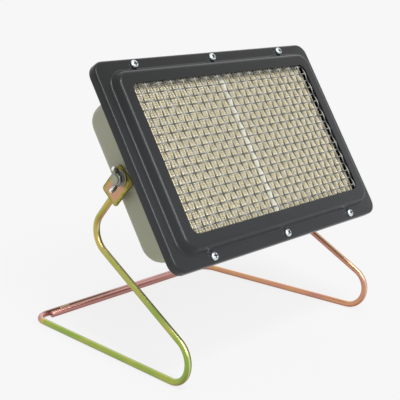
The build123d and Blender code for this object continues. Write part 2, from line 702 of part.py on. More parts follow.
# ---- wing nuts: bevelled hub with two wings that flare away from the plate ----
wing_up = Vector(0, -sin(radians(wing_lean)), cos(radians(wing_lean)))
for side, side_name in ((-1, "left"), (1, "right")):
    seat_middle = pivot + across * side * wing_seat_x
    hub_seat = Plane(origin=seat_middle, x_dir=wing_up, z_dir=across * side)
    with BuildPart() as wing_nut:
        with BuildSketch(hub_seat):
            RegularPolygon(nut_base_r, round_sides)
        extrude(amount=nut_hub_h)
        hub_top = wing_nut.faces().sort_by(Axis(seat_middle, across * side))[-1]
        chamfer(hub_top.edges(), length=nut_hub_bevel)
        with BuildSketch(Plane(origin=seat_middle, x_dir=wing_up, z_dir=wing_up.cross(across * side))):
            with BuildLine():
                Polyline((0, wing_root), (nut_base_r, wing_root),
                         (wing_span_r, wing_rise - wing_tip_l), (wing_span_r, wing_rise),
                         (wing_span_r - wing_tip_l, wing_rise), (0, nut_hub_h - wing_root),
                         close=True)
            wing = make_face()
            fillet(wing.vertices().group_by(Axis.X)[-1], radius=wing_tip_r)
            mirror(about=Plane.YZ)
        extrude(amount=wing_t / 2, both=True)
        with BuildSketch(hub_seat):
            Circle(stud_r + pin_gap)
        extrude(amount=wing_rise, mode=Mode.SUBTRACT)
    wing_nut.part.label = side_name + "_wing_nut"
    export_step(wing_nut.part, "parts/" + side_name + "_wing_nut.step")

# ---- welds that join the two tails of the rear bar ----
valley_y = rear_y - wire_r - bar_gap / 2
with BuildPart() as rear_bar_welds:
    for weld_x in (bar_weld_in - tail_reach, tail_reach - bar_weld_in):
        with BuildSketch(Plane.YZ.offset(weld_x - bar_weld_l / 2)):
            with Locations((valley_y, wire_r + bar_weld_r + sheet_gap)):
                Circle(bar_weld_r)
        extrude(amount=bar_weld_l)
    with BuildSketch(Plane.YZ):
        with Locations((valley_y, wire_r)):
            with GridLocations(wire_d + bar_gap, 1, 2, 1):
                Circle(wire_r + seat_gap)
    extrude(amount=rear_half_w, both=True, mode=Mode.SUBTRACT)
rear_bar_welds.part.label = "rear_bar_welds"
export_step(rear_bar_welds.part, "parts/rear_bar_welds.step")
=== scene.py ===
import bmesh
import bpy
import json
import math
from mathutils import Matrix, Vector


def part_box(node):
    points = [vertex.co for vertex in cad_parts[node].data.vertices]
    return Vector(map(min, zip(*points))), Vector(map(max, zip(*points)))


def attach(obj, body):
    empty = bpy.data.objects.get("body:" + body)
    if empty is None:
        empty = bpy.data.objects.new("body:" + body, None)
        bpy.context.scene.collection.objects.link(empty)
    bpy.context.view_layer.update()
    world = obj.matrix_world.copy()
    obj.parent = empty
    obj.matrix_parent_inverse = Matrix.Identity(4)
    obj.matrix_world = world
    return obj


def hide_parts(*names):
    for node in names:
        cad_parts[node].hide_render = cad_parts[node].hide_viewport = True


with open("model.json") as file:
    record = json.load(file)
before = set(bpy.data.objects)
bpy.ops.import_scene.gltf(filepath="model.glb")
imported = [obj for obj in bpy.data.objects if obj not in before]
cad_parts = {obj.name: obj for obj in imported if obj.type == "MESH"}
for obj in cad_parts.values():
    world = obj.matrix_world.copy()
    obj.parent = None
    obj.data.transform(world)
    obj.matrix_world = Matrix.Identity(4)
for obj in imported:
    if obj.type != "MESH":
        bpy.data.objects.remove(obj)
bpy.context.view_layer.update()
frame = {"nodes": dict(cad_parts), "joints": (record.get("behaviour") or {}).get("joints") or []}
nodes = frame["nodes"]
print("frame loaded:", len(nodes), "nodes")

# Radiant gas heater: flat ceramic head between two bent wire legs. Metres, front to -Y.

head = {"tilt": 32.5, "flangeAheadOfPivot": 0.0346, "middleBelowPivot": 0.00233}

tilt = math.radians(head["tilt"])
pivot = Vector(next(joint["pos_m"] for joint in frame["joints"] if joint["name"] == "head_tilt"))
across = Vector((1, 0, 0))
outward = Vector((0, -math.cos(tilt), math.sin(tilt)))
upward = Vector((0, math.sin(tilt), math.cos(tilt)))
headMiddle = pivot + outward * head["flangeAheadOfPivot"] - upward * head["middleBelowPivot"]
headTurn = math.radians(90) - tilt
headPlace = Matrix.Translation(headMiddle) @ Matrix.Rotation(headTurn, 4, "X")


def onHead(u, v, n, flip=False):
    # local Z points out of the head, or back from it
    spot = headPlace @ Matrix.Translation((u, v, n))
    return spot @ Matrix.Rotation(math.pi, 4, "X") if flip else spot


def facing(point, along, up):
    # local Z runs along, local X runs up
    zAxis = along.normalized()
    xAxis = (up - zAxis * up.dot(zAxis)).normalized()
    yAxis = zAxis.cross(xAxis)
    return Matrix.Translation(point) @ Matrix((xAxis, yAxis, zAxis)).transposed().to_4x4()


# ways of working

samePoint = 1e-6     # points closer than this are one
seatGap = 0.00002    # between faces that touch, so that they don't flicker
hexForm = {"cornerDrop": 0.75, "faceShare": 0.98, "cornerShare": 1.01, "sides": 40,
           "boreSides": 24}


def leaveAll():
    if bpy.context.mode != "OBJECT":
        bpy.ops.object.mode_set(mode="OBJECT")
    bpy.ops.object.select_all(action="DESELECT")


def selectOnly(*pieces):
    leaveAll()
    for piece in pieces:
        piece.select_set(True)
    bpy.context.view_layer.objects.active = pieces[0]


def selectBy(kind):
    kinds = ("VERT", "EDGE", "FACE")
    bpy.context.tool_settings.mesh_select_mode = tuple(kind == each for each in kinds)


def startEdit():
    bpy.ops.object.mode_set(mode="EDIT")
    selectBy("VERT")


def selectWhere(test, kind="VERT"):
    # faces are tested whole, edges by their middle and direction, points by their place
    selectBy(kind)
    mesh = bmesh.from_edit_mesh(bpy.context.object.data)
    for group in (mesh.faces, mesh.edges, mesh.verts):
        for part in group:
            part.select_set(False)
    if kind == "FACE":
        for face in mesh.faces:
            if test(face):
                face.select_set(True)
    elif kind == "EDGE":
        for edge in mesh.edges:
            start, end = (vert.co for vert in edge.verts)
            if test((start + end) / 2, end - start):
                edge.select_set(True)
    else:
        for vert in mesh.verts:
            if test(vert.co):
                vert.select_set(True)
    mesh.select_flush_mode()
    bmesh.update_edit_mesh(bpy.context.object.data)


def selectRange(first, last):
    # points by the order in which they were made, counted from the end where negative
    selectBy("VERT")
    mesh = bmesh.from_edit_mesh(bpy.context.object.data)
    for vert in mesh.verts:
        vert.select_set(False)
    mesh.verts.ensure_lookup_table()
    total = len(mesh.verts)
    for index in range(first % total, last if last > 0 else total + last):
        mesh.verts[index].select_set(True)
    mesh.select_flush_mode()
    bmesh.update_edit_mesh(bpy.context.object.data)


def finishEdit(name):
    selectBy("VERT")
    bpy.ops.mesh.select_all(action="SELECT")
    bpy.ops.mesh.remove_doubles(threshold=samePoint)
    bpy.ops.mesh.normals_make_consistent(inside=False)
    bpy.ops.object.mode_set(mode="OBJECT")
    piece = bpy.context.object
    piece.name = piece.data.name = name
    return piece


def ringStack(name, rings, corner=6, capStart=False, capEnd=False):
    # rounded rectangles (width, height, corner radius, level), each bridged to the one before
    leaveAll()
    count = 4 * (corner + 1)
    storey = 0.1     # the rings are bridged as a tall tower, then moved to their levels
    bpy.ops.mesh.primitive_plane_add(size=1)
    startEdit()
    for index, (width, height, radius, _) in enumerate(rings):
        if index:
            bpy.ops.mesh.select_all(action="DESELECT")
            bpy.ops.mesh.primitive_plane_add(size=1)
        else:
            bpy.ops.mesh.select_all(action="SELECT")
        bpy.ops.transform.resize(value=(width, height, 1))
        bpy.ops.mesh.bevel(affect="VERTICES", offset=radius, segments=corner, profile=0.5)
        bpy.ops.transform.translate(value=(0, 0, index * storey))
        bpy.ops.mesh.delete(type="ONLY_FACE")
        if index:
            selectRange(-2 * count, 0)
            bpy.ops.mesh.bridge_edge_loops()
    if capStart:
        selectRange(0, count)
        bpy.ops.mesh.edge_face_add()
    if capEnd:
        selectRange(-count, 0)
        bpy.ops.mesh.edge_face_add()
    for index, ring in enumerate(rings):
        selectRange(index * count, (index + 1) * count)
        bpy.ops.transform.translate(value=(0, 0, ring[3] - index * storey))
    return finishEdit(name)


def softProfile(points, steps):
    # rings with a softness: each soft one becomes a small arc between its neighbours
    rings = []
    for index, (width, height, radius, level, soft) in enumerate(points):
        if not soft:
            rings.append((width, height, radius, level))
            continue
        here = Vector((width / 2, level))
        before = Vector((points[index - 1][0] / 2, points[index - 1][3]))
        after = Vector((points[index + 1][0] / 2, points[index + 1][3]))
        toBefore, toAfter = (before - here).normalized(), (after - here).normalized()
        half = toBefore.angle(toAfter) / 2
        centre = here + (toBefore + toAfter).normalized() * soft / math.sin(half)
        start = here + toBefore * soft / math.tan(half) - centre
        end = here + toAfter * soft / math.tan(half) - centre
        for step in range(steps + 1):
            spot = centre + start.slerp(end, step / steps) * start.length
            shift = spot.x - here.x
            rings.append((width + 2 * shift, height + 2 * shift, radius + shift, spot.y))
    return rings


def turned(name, profile, sides, closed=False):
    # (radius, level) rings: each is extruded from the last and drawn to its own radius
    leaveAll()
    radius, level = profile[0]
    bpy.ops.mesh.primitive_circle_add(vertices=sides, radius=radius)
    startEdit()
    bpy.ops.mesh.select_all(action="SELECT")
    bpy.ops.transform.translate(value=(0, 0, level))
    for nextRadius, nextLevel in profile[1:]:
        bpy.ops.mesh.extrude_region_move(
            TRANSFORM_OT_translate={"value": (0, 0, nextLevel - level)})
        ratio = nextRadius / radius
        bpy.ops.transform.resize(value=(ratio, ratio, 1))
        radius, level = nextRadius, nextLevel
    if not closed:
        bpy.ops.mesh.edge_face_add()
        selectRange(0, sides)
        bpy.ops.mesh.edge_face_add()
    return finishEdit(name)


def rod(name, radius, low, high, sides):
    return turned(name, [(radius, low), (radius, high)], sides)


def bend(before, corner, after, radius):
    # where a bend starts and ends, its centre, axis and angle
    arrive, leave = (corner - before).normalized(), (after - corner).normalized()
    angle = arrive.angle(leave)
    reach = radius * math.tan(angle / 2)
    start, end = corner - arrive * reach, corner + leave * reach
    axis = arrive.cross(leave).normalized()
    return start, end, start + axis.cross(arrive) * radius, axis, angle


def drawAlong(points, radii, stepAngle):
    # what is selected is extruded along straight runs and spun round the bends
    at = points[0]
    for index, radius in enumerate(radii):
        start, end, centre, axis, angle = bend(*points[index:index + 3], radius)
        bpy.ops.mesh.extrude_region_move(TRANSFORM_OT_translate={"value": start - at})
        steps = max(2, round(math.degrees(angle) / stepAngle))
        bpy.ops.mesh.spin(steps=steps, angle=-angle, center=centre, axis=axis)
        at = end
    bpy.ops.mesh.extrude_region_move(TRANSFORM_OT_translate={"value": points[-1] - at})


def bentWire(name, points, radii, thickness, sides, stepAngle):
    leaveAll()
    tip = thickness * 0.07     # both cut ends are slightly broken
    along = (points[1] - points[0]).normalized()
    bpy.ops.mesh.primitive_circle_add(vertices=sides, radius=thickness / 2 - tip)
    bpy.context.object.matrix_world = facing(points[0], along, Vector((1, 0, 0.1)))
    bpy.ops.object.transform_apply(location=True, rotation=True, scale=True)
    grow = (thickness / 2) / (thickness / 2 - tip)
    endAlong = (points[-1] - points[-2]).normalized()
    startEdit()
    bpy.ops.mesh.select_all(action="SELECT")
    bpy.ops.mesh.extrude_region_move(TRANSFORM_OT_translate={"value": along * tip})
    bpy.ops.transform.resize(value=(grow, grow, grow))
    drawAlong([points[0] + along * tip] + points[1:-1] + [points[-1] - endAlong * tip],
              radii, stepAngle)
    bpy.ops.mesh.extrude_region_move(TRANSFORM_OT_translate={"value": endAlong * tip})
    bpy.ops.transform.resize(value=(1 / grow, 1 / grow, 1 / grow))
    bpy.ops.mesh.edge_face_add()
    selectRange(0, sides)
    bpy.ops.mesh.edge_face_add()
    return finishEdit(name)


def modify(piece, kind, **settings):
    selectOnly(piece)
    change = piece.modifiers.new(kind.lower(), kind)
    for setting, value in settings.items():
        setattr(change, setting, value)
    bpy.ops.object.modifier_apply(modifier=change.name)


def cut(piece, tool, operation="DIFFERENCE"):
    modify(piece, "BOOLEAN", operation=operation, solver="EXACT", object=tool)
    bpy.data.objects.remove(tool)
    return piece


def place(piece, where):
    selectOnly(piece)
    piece.matrix_world = where
    bpy.ops.object.transform_apply(location=True, rotation=True, scale=True)
    return piece


def twinOf(piece):
    # a copy with its own mesh
    twin = piece.copy()
    twin.data = piece.data.copy()
    bpy.context.scene.collection.objects.link(twin)
    return twin


def copyTo(piece, places, name):
    # one model, copied to each place, then joined
    twins = [place(twinOf(piece), where) for where in places]
    bpy.data.objects.remove(piece)
    return join(twins, name)


def join(pieces, name):
    selectOnly(*pieces)
    bpy.ops.object.join()
    joined = bpy.context.object
    joined.name = joined.data.name = name
    return joined


def dress(piece, body, finish, replaced, smooth):
    piece.data.materials.clear()
    piece.data.materials.append(finish)
    selectOnly(piece)
    bpy.ops.object.shade_smooth_by_angle(angle=math.radians(smooth))
    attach(piece, body)
    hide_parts(*replaced)


# materials

class Value:
    # a number or vector socket that can be reckoned with
    def __init__(self, finish, socket):
        self.finish, self.socket = finish, socket

    def math(self, operation, *others):
        return self.finish.node("Math", {"operation": operation}, [self, *others])

    def __add__(self, other):
        return self.math("ADD", other)

    def __sub__(self, other):
        return self.math("SUBTRACT", other)

    def __rsub__(self, other):
        return self.finish.node("Math", {"operation": "SUBTRACT"}, [other, self])

    def __mul__(self, other):
        return self.math("MULTIPLY", other)

    def __truediv__(self, other):
        return self.math("DIVIDE", other)

    __radd__, __rmul__ = __add__, __mul__


class Finish:
    def __init__(self, name, **constants):
        self.material = bpy.data.materials.new(name)
        self.material.use_nodes = True
        self.tree = self.material.node_tree
        self.shader = self.tree.nodes["Principled BSDF"]
        self.set(**constants)

    def set(self, **values):
        for name, value in values.items():
            socket = self.shader.inputs[name.replace("_", " ")]
            if isinstance(value, Value):
                self.tree.links.new(value.socket, socket)
            elif socket.type == "RGBA":
                socket.default_value = (*value, 1)
            else:
                socket.default_value = value

    def node(self, kind, settings=None, values=(), output=0):
        # settings first, then the values or links of its sockets
        made = self.tree.nodes.new("ShaderNode" + kind)
        for name, value in (settings or {}).items():
            if name == "stops":
                ramp = made.color_ramp
                while len(ramp.elements) < len(value):
                    ramp.elements.new(0.5)
                for element, (position, colour) in zip(ramp.elements, value):
                    element.position, element.color = position, (*colour, 1)
            else:
                setattr(made, name, value)
        pairs = values.items() if isinstance(values, dict) else enumerate(values)
        for key, value in pairs:
            socket = made.inputs[key]
            if isinstance(value, Value):
                self.tree.links.new(value.socket, socket)
            else:
                socket.default_value = (*value, 1) if socket.type == "RGBA" else value
        return Value(self, made.outputs[output])

    def coordinates(self, turn=(0, 0, 0), shift=(0, 0, 0), scale=(1, 1, 1)):
        where = self.node("TexCoord", output=3)
        return self.node("Mapping", {"vector_type": "TEXTURE"},
                         {"Vector": where, "Location": shift, "Rotation": turn, "Scale": scale})

    def parts(self, vector):
        split = self.node("SeparateXYZ", values=[vector])
        return [Value(self, socket) for socket in split.socket.node.outputs]

    def headCoordinates(self):
        return self.coordinates(turn=(headTurn, 0, 0), shift=headMiddle)

    def noise(self, where, scale, detail, roughness=0.5):
        return self.node("TexNoise", values={"Vector": where, "Scale": scale, "Detail": detail,
                                             "Roughness": roughness})

    def ramp(self, value, *stops):
        return self.node("ValToRGB", {"stops": stops}, [value])

    def mix(self, factor, first, second, blend="MIX"):
        return self.node("Mix", {"data_type": "RGBA", "blend_type": blend},
                         {0: factor, 6: first, 7: second}, output=2)

    def bump(self, height, strength, distance):
        return self.node("Bump", values={"Strength": strength, "Distance": distance,
                                         "Height": height})


def grey(value):
    return (value, value, value)


def makeBezelPaint():
    paint = Finish("bezelPaint", Specular_IOR_Level=0.36)
    where = paint.headCoordinates()
    grain = paint.noise(where, 1500, 2)
    cloud = paint.noise(where, 14, 3)
    tone = paint.ramp(cloud, (0.3, (0.013, 0.0145, 0.0165)), (0.7, (0.018, 0.0195, 0.022)))
    speckle = paint.ramp(grain, (0.35, grey(0.82)), (0.65, grey(1.12)))
    # painted shade: darker towards the top edge, multiplied into the speckle
    paintedShadeFade = paint.ramp(paint.parts(where)[1] * 5 + 0.5, (0.35, grey(1)), (0.95, grey(0.25)))
    speckle = paint.mix(1.0, speckle, paintedShadeFade, "MULTIPLY")
    paint.set(Base_Color=paint.mix(1.0, tone, speckle, "MULTIPLY"),
              Roughness=0.27 + cloud * 0.12, Normal=paint.bump(grain, 0.3, 0.0002))
    return paint.material


def makeHousingPaint():
    paint = Finish("housingPaint", Roughness=0.5)
    where = paint.headCoordinates()
    peel = paint.noise(where, 600, 3)
    cloud = paint.noise(where, 9, 2)
    tone = paint.ramp(cloud, (0.3, (0.31, 0.317, 0.222)), (0.7, (0.345, 0.347, 0.247)))
    paint.set(Base_Color=tone, Roughness=0.42 + cloud * 0.12,
              Normal=paint.bump(peel, 0.2, 0.0003))
    return paint.material


# metres towards the back, where the rear bars begin and where the gap between them does
wireTones = {"barsFrom": 0.088, "barsFade": 90, "gapFrom": 0.10485, "gapFade": 900,
             "grain": 420, "streak": 20}


def makeChromate():
    # yellow chromate on zinc: gold and green on the left leg, orange on the right, pink behind
    plating = Finish("chromate", Metallic=0.85, Coat_Weight=0.1, Coat_Roughness=0.2)
    where = plating.coordinates()
    sideways, back, up = plating.parts(where)
    toSide, toBack, toTop = plating.parts(plating.node("TexCoord", output=1))
    onBars = plating.ramp((back - wireTones["barsFrom"]) * wireTones["barsFade"],
                          (0.1, grey(0)), (0.9, grey(1)))
    drift = plating.noise(where, 30, 2, 0.55) - 0.5
    grain, streak = wireTones["grain"], wireTones["streak"]
    alongLeg = plating.noise(plating.coordinates(scale=(1, streak, streak)), grain, 2) - 0.5
    alongBar = plating.noise(plating.coordinates(scale=(streak, 1, 1)), grain, 2) - 0.5
    upLeg = plating.ramp(up * 8, (0.3, grey(0)), (1, grey(1)))
    film = sideways * 2.1 + 0.37 + upLeg * 0.2 + alongLeg * 0.25
    film = (film + drift * 0.5) * (1 - onBars) + (alongBar * 0.25 + drift * 0.2 + 0.82) * onBars
    tone = plating.ramp(film, (0.05, (0.26, 0.39, 0.06)), (0.2, (0.42, 0.43, 0.09)),
                        (0.34, (0.55, 0.42, 0.12)), (0.5, (0.6, 0.37, 0.14)),
                        (0.64, (0.6, 0.29, 0.18)), (0.8, (0.47, 0.22, 0.2)),
                        (0.95, (0.4, 0.19, 0.15)))
    # painted highlight along the crown of the legs, painted brown shade on the left one's inner
    # side and underneath
    paintedCrownHighlight = plating.ramp(toSide * 0.5 + 0.5, (0.24, grey(0)), (0.33, grey(1)),
                         (0.39, grey(1)), (0.43, grey(0)))
    paintedCrownHighlight = paintedCrownHighlight * plating.ramp(toBack * -0.5 + 0.5, (0.55, grey(0)), (0.7, grey(0.7)))
    paintedCrownHighlight = paintedCrownHighlight * (1 - onBars)
    # painted shade: brown on the left leg's inner side, chosen by which way the surface faces
    inner = plating.ramp(toSide * 0.5 + 0.5 + drift * 0.1, (0.5, grey(0)), (0.6, grey(0.9)))
    inner = inner * plating.ramp(sideways * -8 + 0.5, (0.4, grey(0)), (0.6, grey(1)))
    # painted shade: darker, pinker undersides, chosen by which way the surface faces
    under = plating.ramp(toTop * 0.5 + 0.5 + drift * 0.1,
                         (0.16, (0.62, 0.36, 0.34)), (0.36, (0.85, 0.74, 0.7)), (0.5, grey(1)))
    tone = plating.mix(1.0, plating.mix(paintedCrownHighlight, tone, (0.9, 0.9, 0.6)), under, "MULTIPLY")
    tone = plating.mix(inner * (1 - onBars), tone, (0.12, 0.05, 0.035))
    # painted brown shade between the two rear bars
    paintedGapShade = plating.ramp((back - wireTones["gapFrom"]) * wireTones["gapFade"],
                           (0, grey(0)), (1, grey(1)))
    paintedGapShade = paintedGapShade * plating.ramp(toBack * 0.5 + 0.5, (0.3, grey(1)), (0.5, grey(0)))
    paintedGapShade = paintedGapShade * plating.ramp(sideways * -8 + 0.5 + drift, (0.4, grey(0)), (0.8, grey(1)))
    plating.set(Base_Color=plating.mix(paintedGapShade, tone, (0.1, 0.06, 0.03)),
                Roughness=0.27 + drift * 0.1)
    return plating.material


def makePlateChromate():
    # pink in the middle of each plate, olive towards its edges, and darker olive towards its top
    # round the nut as painted shadow of the nut
    plating = Finish("plateChromate", Metallic=0.85, Coat_Weight=0.2, Coat_Roughness=0.15)
    where = plating.coordinates(turn=(math.pi - plateTurn, 0, 0), shift=(0, *plateMiddle[1:]))
    up, front = plating.parts(where)[1:]
    long, wide = stand["plateSize"]
    fromEdge = (long / 2 - up.math("ABSOLUTE")).math(
        "MINIMUM", wide / 2 - front.math("ABSOLUTE"))
    blotch = plating.noise(where, 170, 3, 0.6)
    # the fall with height above the middle is painted shadow of the nut
    film = fromEdge * 105 + (blotch - 0.5) * 0.45 - up.math("MAXIMUM", 0.003) * 26 + 0.06
    tone = plating.ramp(film, (0.03, (0.17, 0.14, 0.02)), (0.14, (0.4, 0.36, 0.05)),
                        (0.28, (0.42, 0.34, 0.09)), (0.4, (0.6, 0.31, 0.17)),
                        (0.7, (0.55, 0.3, 0.2)))
    fine = plating.noise(where, 900, 2)
    plating.set(Base_Color=tone, Roughness=0.3 + blotch * 0.15,
                Normal=plating.bump(fine, 0.15, 0.0002))
    return plating.material


def makeCastNickel():
    # painted light: a bright band by the seat and bright wing tips are painted highlights, the dark
    # hub between them is painted dark reflection
    cast = Finish("castNickel", Metallic=1.0)
    where = cast.coordinates()
    fromSeat = cast.parts(where)[0].math("ABSOLUTE") - wingSeat
    mottle = cast.noise(where, 420, 3)
    cast.set(Base_Color=cast.ramp(fromSeat * 100 + (mottle - 0.5) * 0.3,
                                  (0.1, (0.62, 0.62, 0.6)), (0.26, (0.16, 0.165, 0.165)),
                                  (0.55, (0.3, 0.31, 0.31)), (0.85, (0.88, 0.88, 0.87))),
             Roughness=0.16 + mottle * 0.14, Normal=cast.bump(mottle, 0.15, 0.0003))
    return cast.material


def makeScrewZinc():
    # blue zinc; its cross recess and a ring under the head are painted dark as shade
    zinc = Finish("screwZinc", Metallic=0.95)
    where = zinc.headCoordinates()
    u, v, n = zinc.parts(where)
    offU = ((u / screws["pitchU"] + 0.5).math("FRACT") - 0.5) * screws["pitchU"]
    offV = v.math("ABSOLUTE") - screws["pitchV"] / 2
    apart = (offU * offU + offV * offV).math("SQRT")
    paintedRecessShade = apart.math("LESS_THAN", screws["recessShadeRadius"])
    paintedRecessShade = paintedRecessShade * n.math("LESS_THAN", screws["recessShadeLevel"])
    paintedUnderHeadShade = n.math("LESS_THAN", screws["underHeadShadeLevel"])
    mottle = zinc.noise(where, 600, 2)
    plain = zinc.ramp(mottle, (0.35, (0.58, 0.64, 0.66)), (0.65, (0.78, 0.84, 0.86)))
    paintedScrewShade = paintedRecessShade.math("MAXIMUM", paintedUnderHeadShade)
    zinc.set(Base_Color=zinc.mix(paintedScrewShade, plain, (0.03, 0.032, 0.03)),
             Roughness=0.16 + mottle * 0.16, Normal=zinc.bump(mottle, 0.1, 0.0003))
    return zinc.material


def makePlated(name, colour, rough):
    plated = Finish(name, Metallic=1.0)
    where = plated.coordinates()
    mottle = plated.noise(where, 260, 3)
    fine = plated.noise(where, 1400, 2)
    dull = tuple(part * 0.86 for part in colour)
    plated.set(Base_Color=plated.ramp(mottle, (0.35, dull), (0.65, colour)),
               Roughness=(rough - 0.05) + mottle * 0.1,
               Normal=plated.bump(fine, 0.1, 0.0002))
    return plated.material


def makeTile():
    # fired cordierite: cream between the holes, with painted brown shade inside them
    fired = Finish("tile", Roughness=0.85, Specular_IOR_Level=0.3)
    where = fired.headCoordinates()
    level = fired.parts(where)[2]
    blotch = fired.noise(where, 110, 4, 0.65)
    grit = fired.noise(where, 1400, 2, 0.6)
    tone = fired.ramp(blotch, (0.3, (0.93, 0.84, 0.56)), (0.5, (0.97, 0.9, 0.66)),
                      (0.72, (0.98, 0.93, 0.74)))
    speckle = fired.ramp(grit, (0.3, (0.86, 0.8, 0.66)), (0.55, grey(1)))
    holeShadeBelow, paintedShadeFade = 0.0003, 1400
    # painted shade: browner with depth inside the holes
    inside = fired.ramp((level - holeShadeBelow) * paintedShadeFade, (0.1, (0.62, 0.5, 0.34)), (0.85, grey(1)))
    shaded = fired.mix(1.0, fired.mix(1.0, tone, speckle, "MULTIPLY"), inside, "MULTIPLY")
    fired.set(Base_Color=shaded, Normal=fired.bump(grit, 0.4, 0.0004))
    return fired.material


def makeScreenWire():
    # heat-dulled steel: painted highlight on the crests, painted shade in the dips beside the
    # crossings
    wire = Finish("screenWire", Metallic=0.55, Roughness=0.45)
    where = wire.headCoordinates()
    height = wire.parts(where)[2]
    mottle = wire.noise(where, 500, 3)
    weaveBack, weaveThick = 0.00435, 0.00245
    raised = (height - weaveBack) * (1 / weaveThick)
    tone = wire.ramp(raised * 0.85 + mottle * 0.15, (0.38, (0.02, 0.021, 0.022)),
                     (0.54, (0.075, 0.078, 0.08)), (0.66, (0.2, 0.203, 0.195)),
                     (0.88, (0.33, 0.33, 0.315)))
    wire.set(Base_Color=tone, Roughness=0.38 + mottle * 0.2, Normal=wire.bump(mottle, 0.3, 0.0002))
    return wire.material


def makeCement():
    paste = Finish("cement", Roughness=0.9)
    where = paste.headCoordinates()
    lumps = paste.noise(where, 300, 4)
    paste.set(Base_Color=paste.ramp(lumps, (0.3, (0.9, 0.88, 0.74)), (0.7, (0.97, 0.96, 0.86))),
              Normal=paste.bump(lumps, 0.5, 0.0006))
    return paste.material


def makeFibre():
    felt = Finish("fibre", Roughness=1.0)
    where = felt.coordinates(scale=(1, 0.2, 0.2))
    hair = felt.noise(where, 1500, 3)
    felt.set(Base_Color=felt.ramp(hair, (0.3, grey(0.7)), (0.7, grey(0.88))),
             Normal=felt.bump(hair, 0.5, 0.0005))
    return felt.material


bezelPaint = makeBezelPaint()
housingPaint = makeHousingPaint()
chromate = makeChromate()
weldMetal = makePlated("weldMetal", (0.42, 0.36, 0.2), 0.45)
blueZinc = makePlated("blueZinc", (0.72, 0.77, 0.82), 0.28)
screenWire = makeScreenWire()
washerZinc = makePlated("washerZinc", (0.4, 0.41, 0.4), 0.34)
plainSteel = makePlated("plainSteel", (0.52, 0.52, 0.5), 0.45)
brass = makePlated("brass", (0.72, 0.52, 0.2), 0.3)
tileFace = makeTile()
cement = makeCement()
fibre = makeFibre()
print("materials made")

# bezel: pressed from one sheet, step raised round the window, rim turned back

bezel = {"width": 0.290, "height": 0.1885, "corner": 0.012, "sheet": 0.0012, "rimDepth": 0.0083,
         "rimSoft": 0.0024, "flangeMargin": 0.011, "stepHeight": 0.008, "stepTaper": 26,
         "stepCorner": 0.016, "rootSoft": 0.003, "edgeSoft": 0.0045,
         "window": (0.2376, 0.1358), "windowCorner": 0.007, "insideSoft": 0.0018,
         "rimInsideSoft": 0.001, "softSteps": 4, "cornerSteps": 8}


def makeBezel():
    width, height, sheet = bezel["width"], bezel["height"], bezel["sheet"]
    margin, rise = bezel["flangeMargin"], bezel["stepHeight"]
    draw = math.tan(math.radians(bezel["stepTaper"]))
    inset = rise * draw
    slopeSheet = sheet / math.cos(math.radians(bezel["stepTaper"])) - sheet * draw
    windowWide, windowHigh = bezel["window"]
    stepWide, stepHigh, stepCorner = width - 2 * margin, height - 2 * margin, bezel["stepCorner"]
    topWide, topHigh, topCorner = stepWide - 2 * inset, stepHigh - 2 * inset, stepCorner - inset
    inWide, inHigh, inCorner = width - 2 * sheet, height - 2 * sheet, bezel["corner"] - sheet
    rimBack, under = -bezel["rimDepth"], rise - sheet
    back = (inWide, inHigh, inCorner, rimBack, 0)
    profile = [
        back,
        (width, height, bezel["corner"], rimBack, 0),
        (width, height, bezel["corner"], 0, bezel["rimSoft"]),
        (stepWide, stepHigh, stepCorner, 0, bezel["rootSoft"]),
        (topWide, topHigh, topCorner, rise, bezel["edgeSoft"]),
        (windowWide, windowHigh, bezel["windowCorner"], rise, 0),
        (windowWide, windowHigh, bezel["windowCorner"], under, 0),
        (topWide - 2 * slopeSheet, topHigh - 2 * slopeSheet, topCorner, under,
         bezel["insideSoft"]),
        (stepWide - 2 * slopeSheet, stepHigh - 2 * slopeSheet, stepCorner, -sheet, 0),
        (inWide, inHigh, inCorner, -sheet, bezel["rimInsideSoft"]),
        back]
    rings = softProfile(profile, bezel["softSteps"])
    piece = ringStack("bezel_frame", rings, corner=bezel["cornerSteps"])
    place(piece, headPlace)
    dress(piece, "head", bezelPaint, ["bezel"], 40)


makeBezel()
print("bezel made")

# housing: flange, shallow collar, then the deep box with its soft back edge

housing = {"flange": (0.287, 0.1855), "flangeCorner": 0.0105, "front": -0.002, "sheet": 0.001,
           "collar": (0.251, 0.157), "collarCorner": 0.0095, "boxFront": -0.015,
           "box": (0.248, 0.155), "boxCorner": 0.0215, "back": -0.0615, "draft": 4.3,
           "backSoft": 0.0135, "collarSoft": 0.0012, "shoulderSoft": 0.0008,
           "padRadius": 0.011, "padX": 0.12375,
           "padProfile": ((0.0025, -0.006), (0.0022, -0.0012), (0, -0.0002), (-0.0008, 0)),
           "airHole": (0.058, -0.022, 0.017), "softSteps": 6, "cornerSteps": 10}


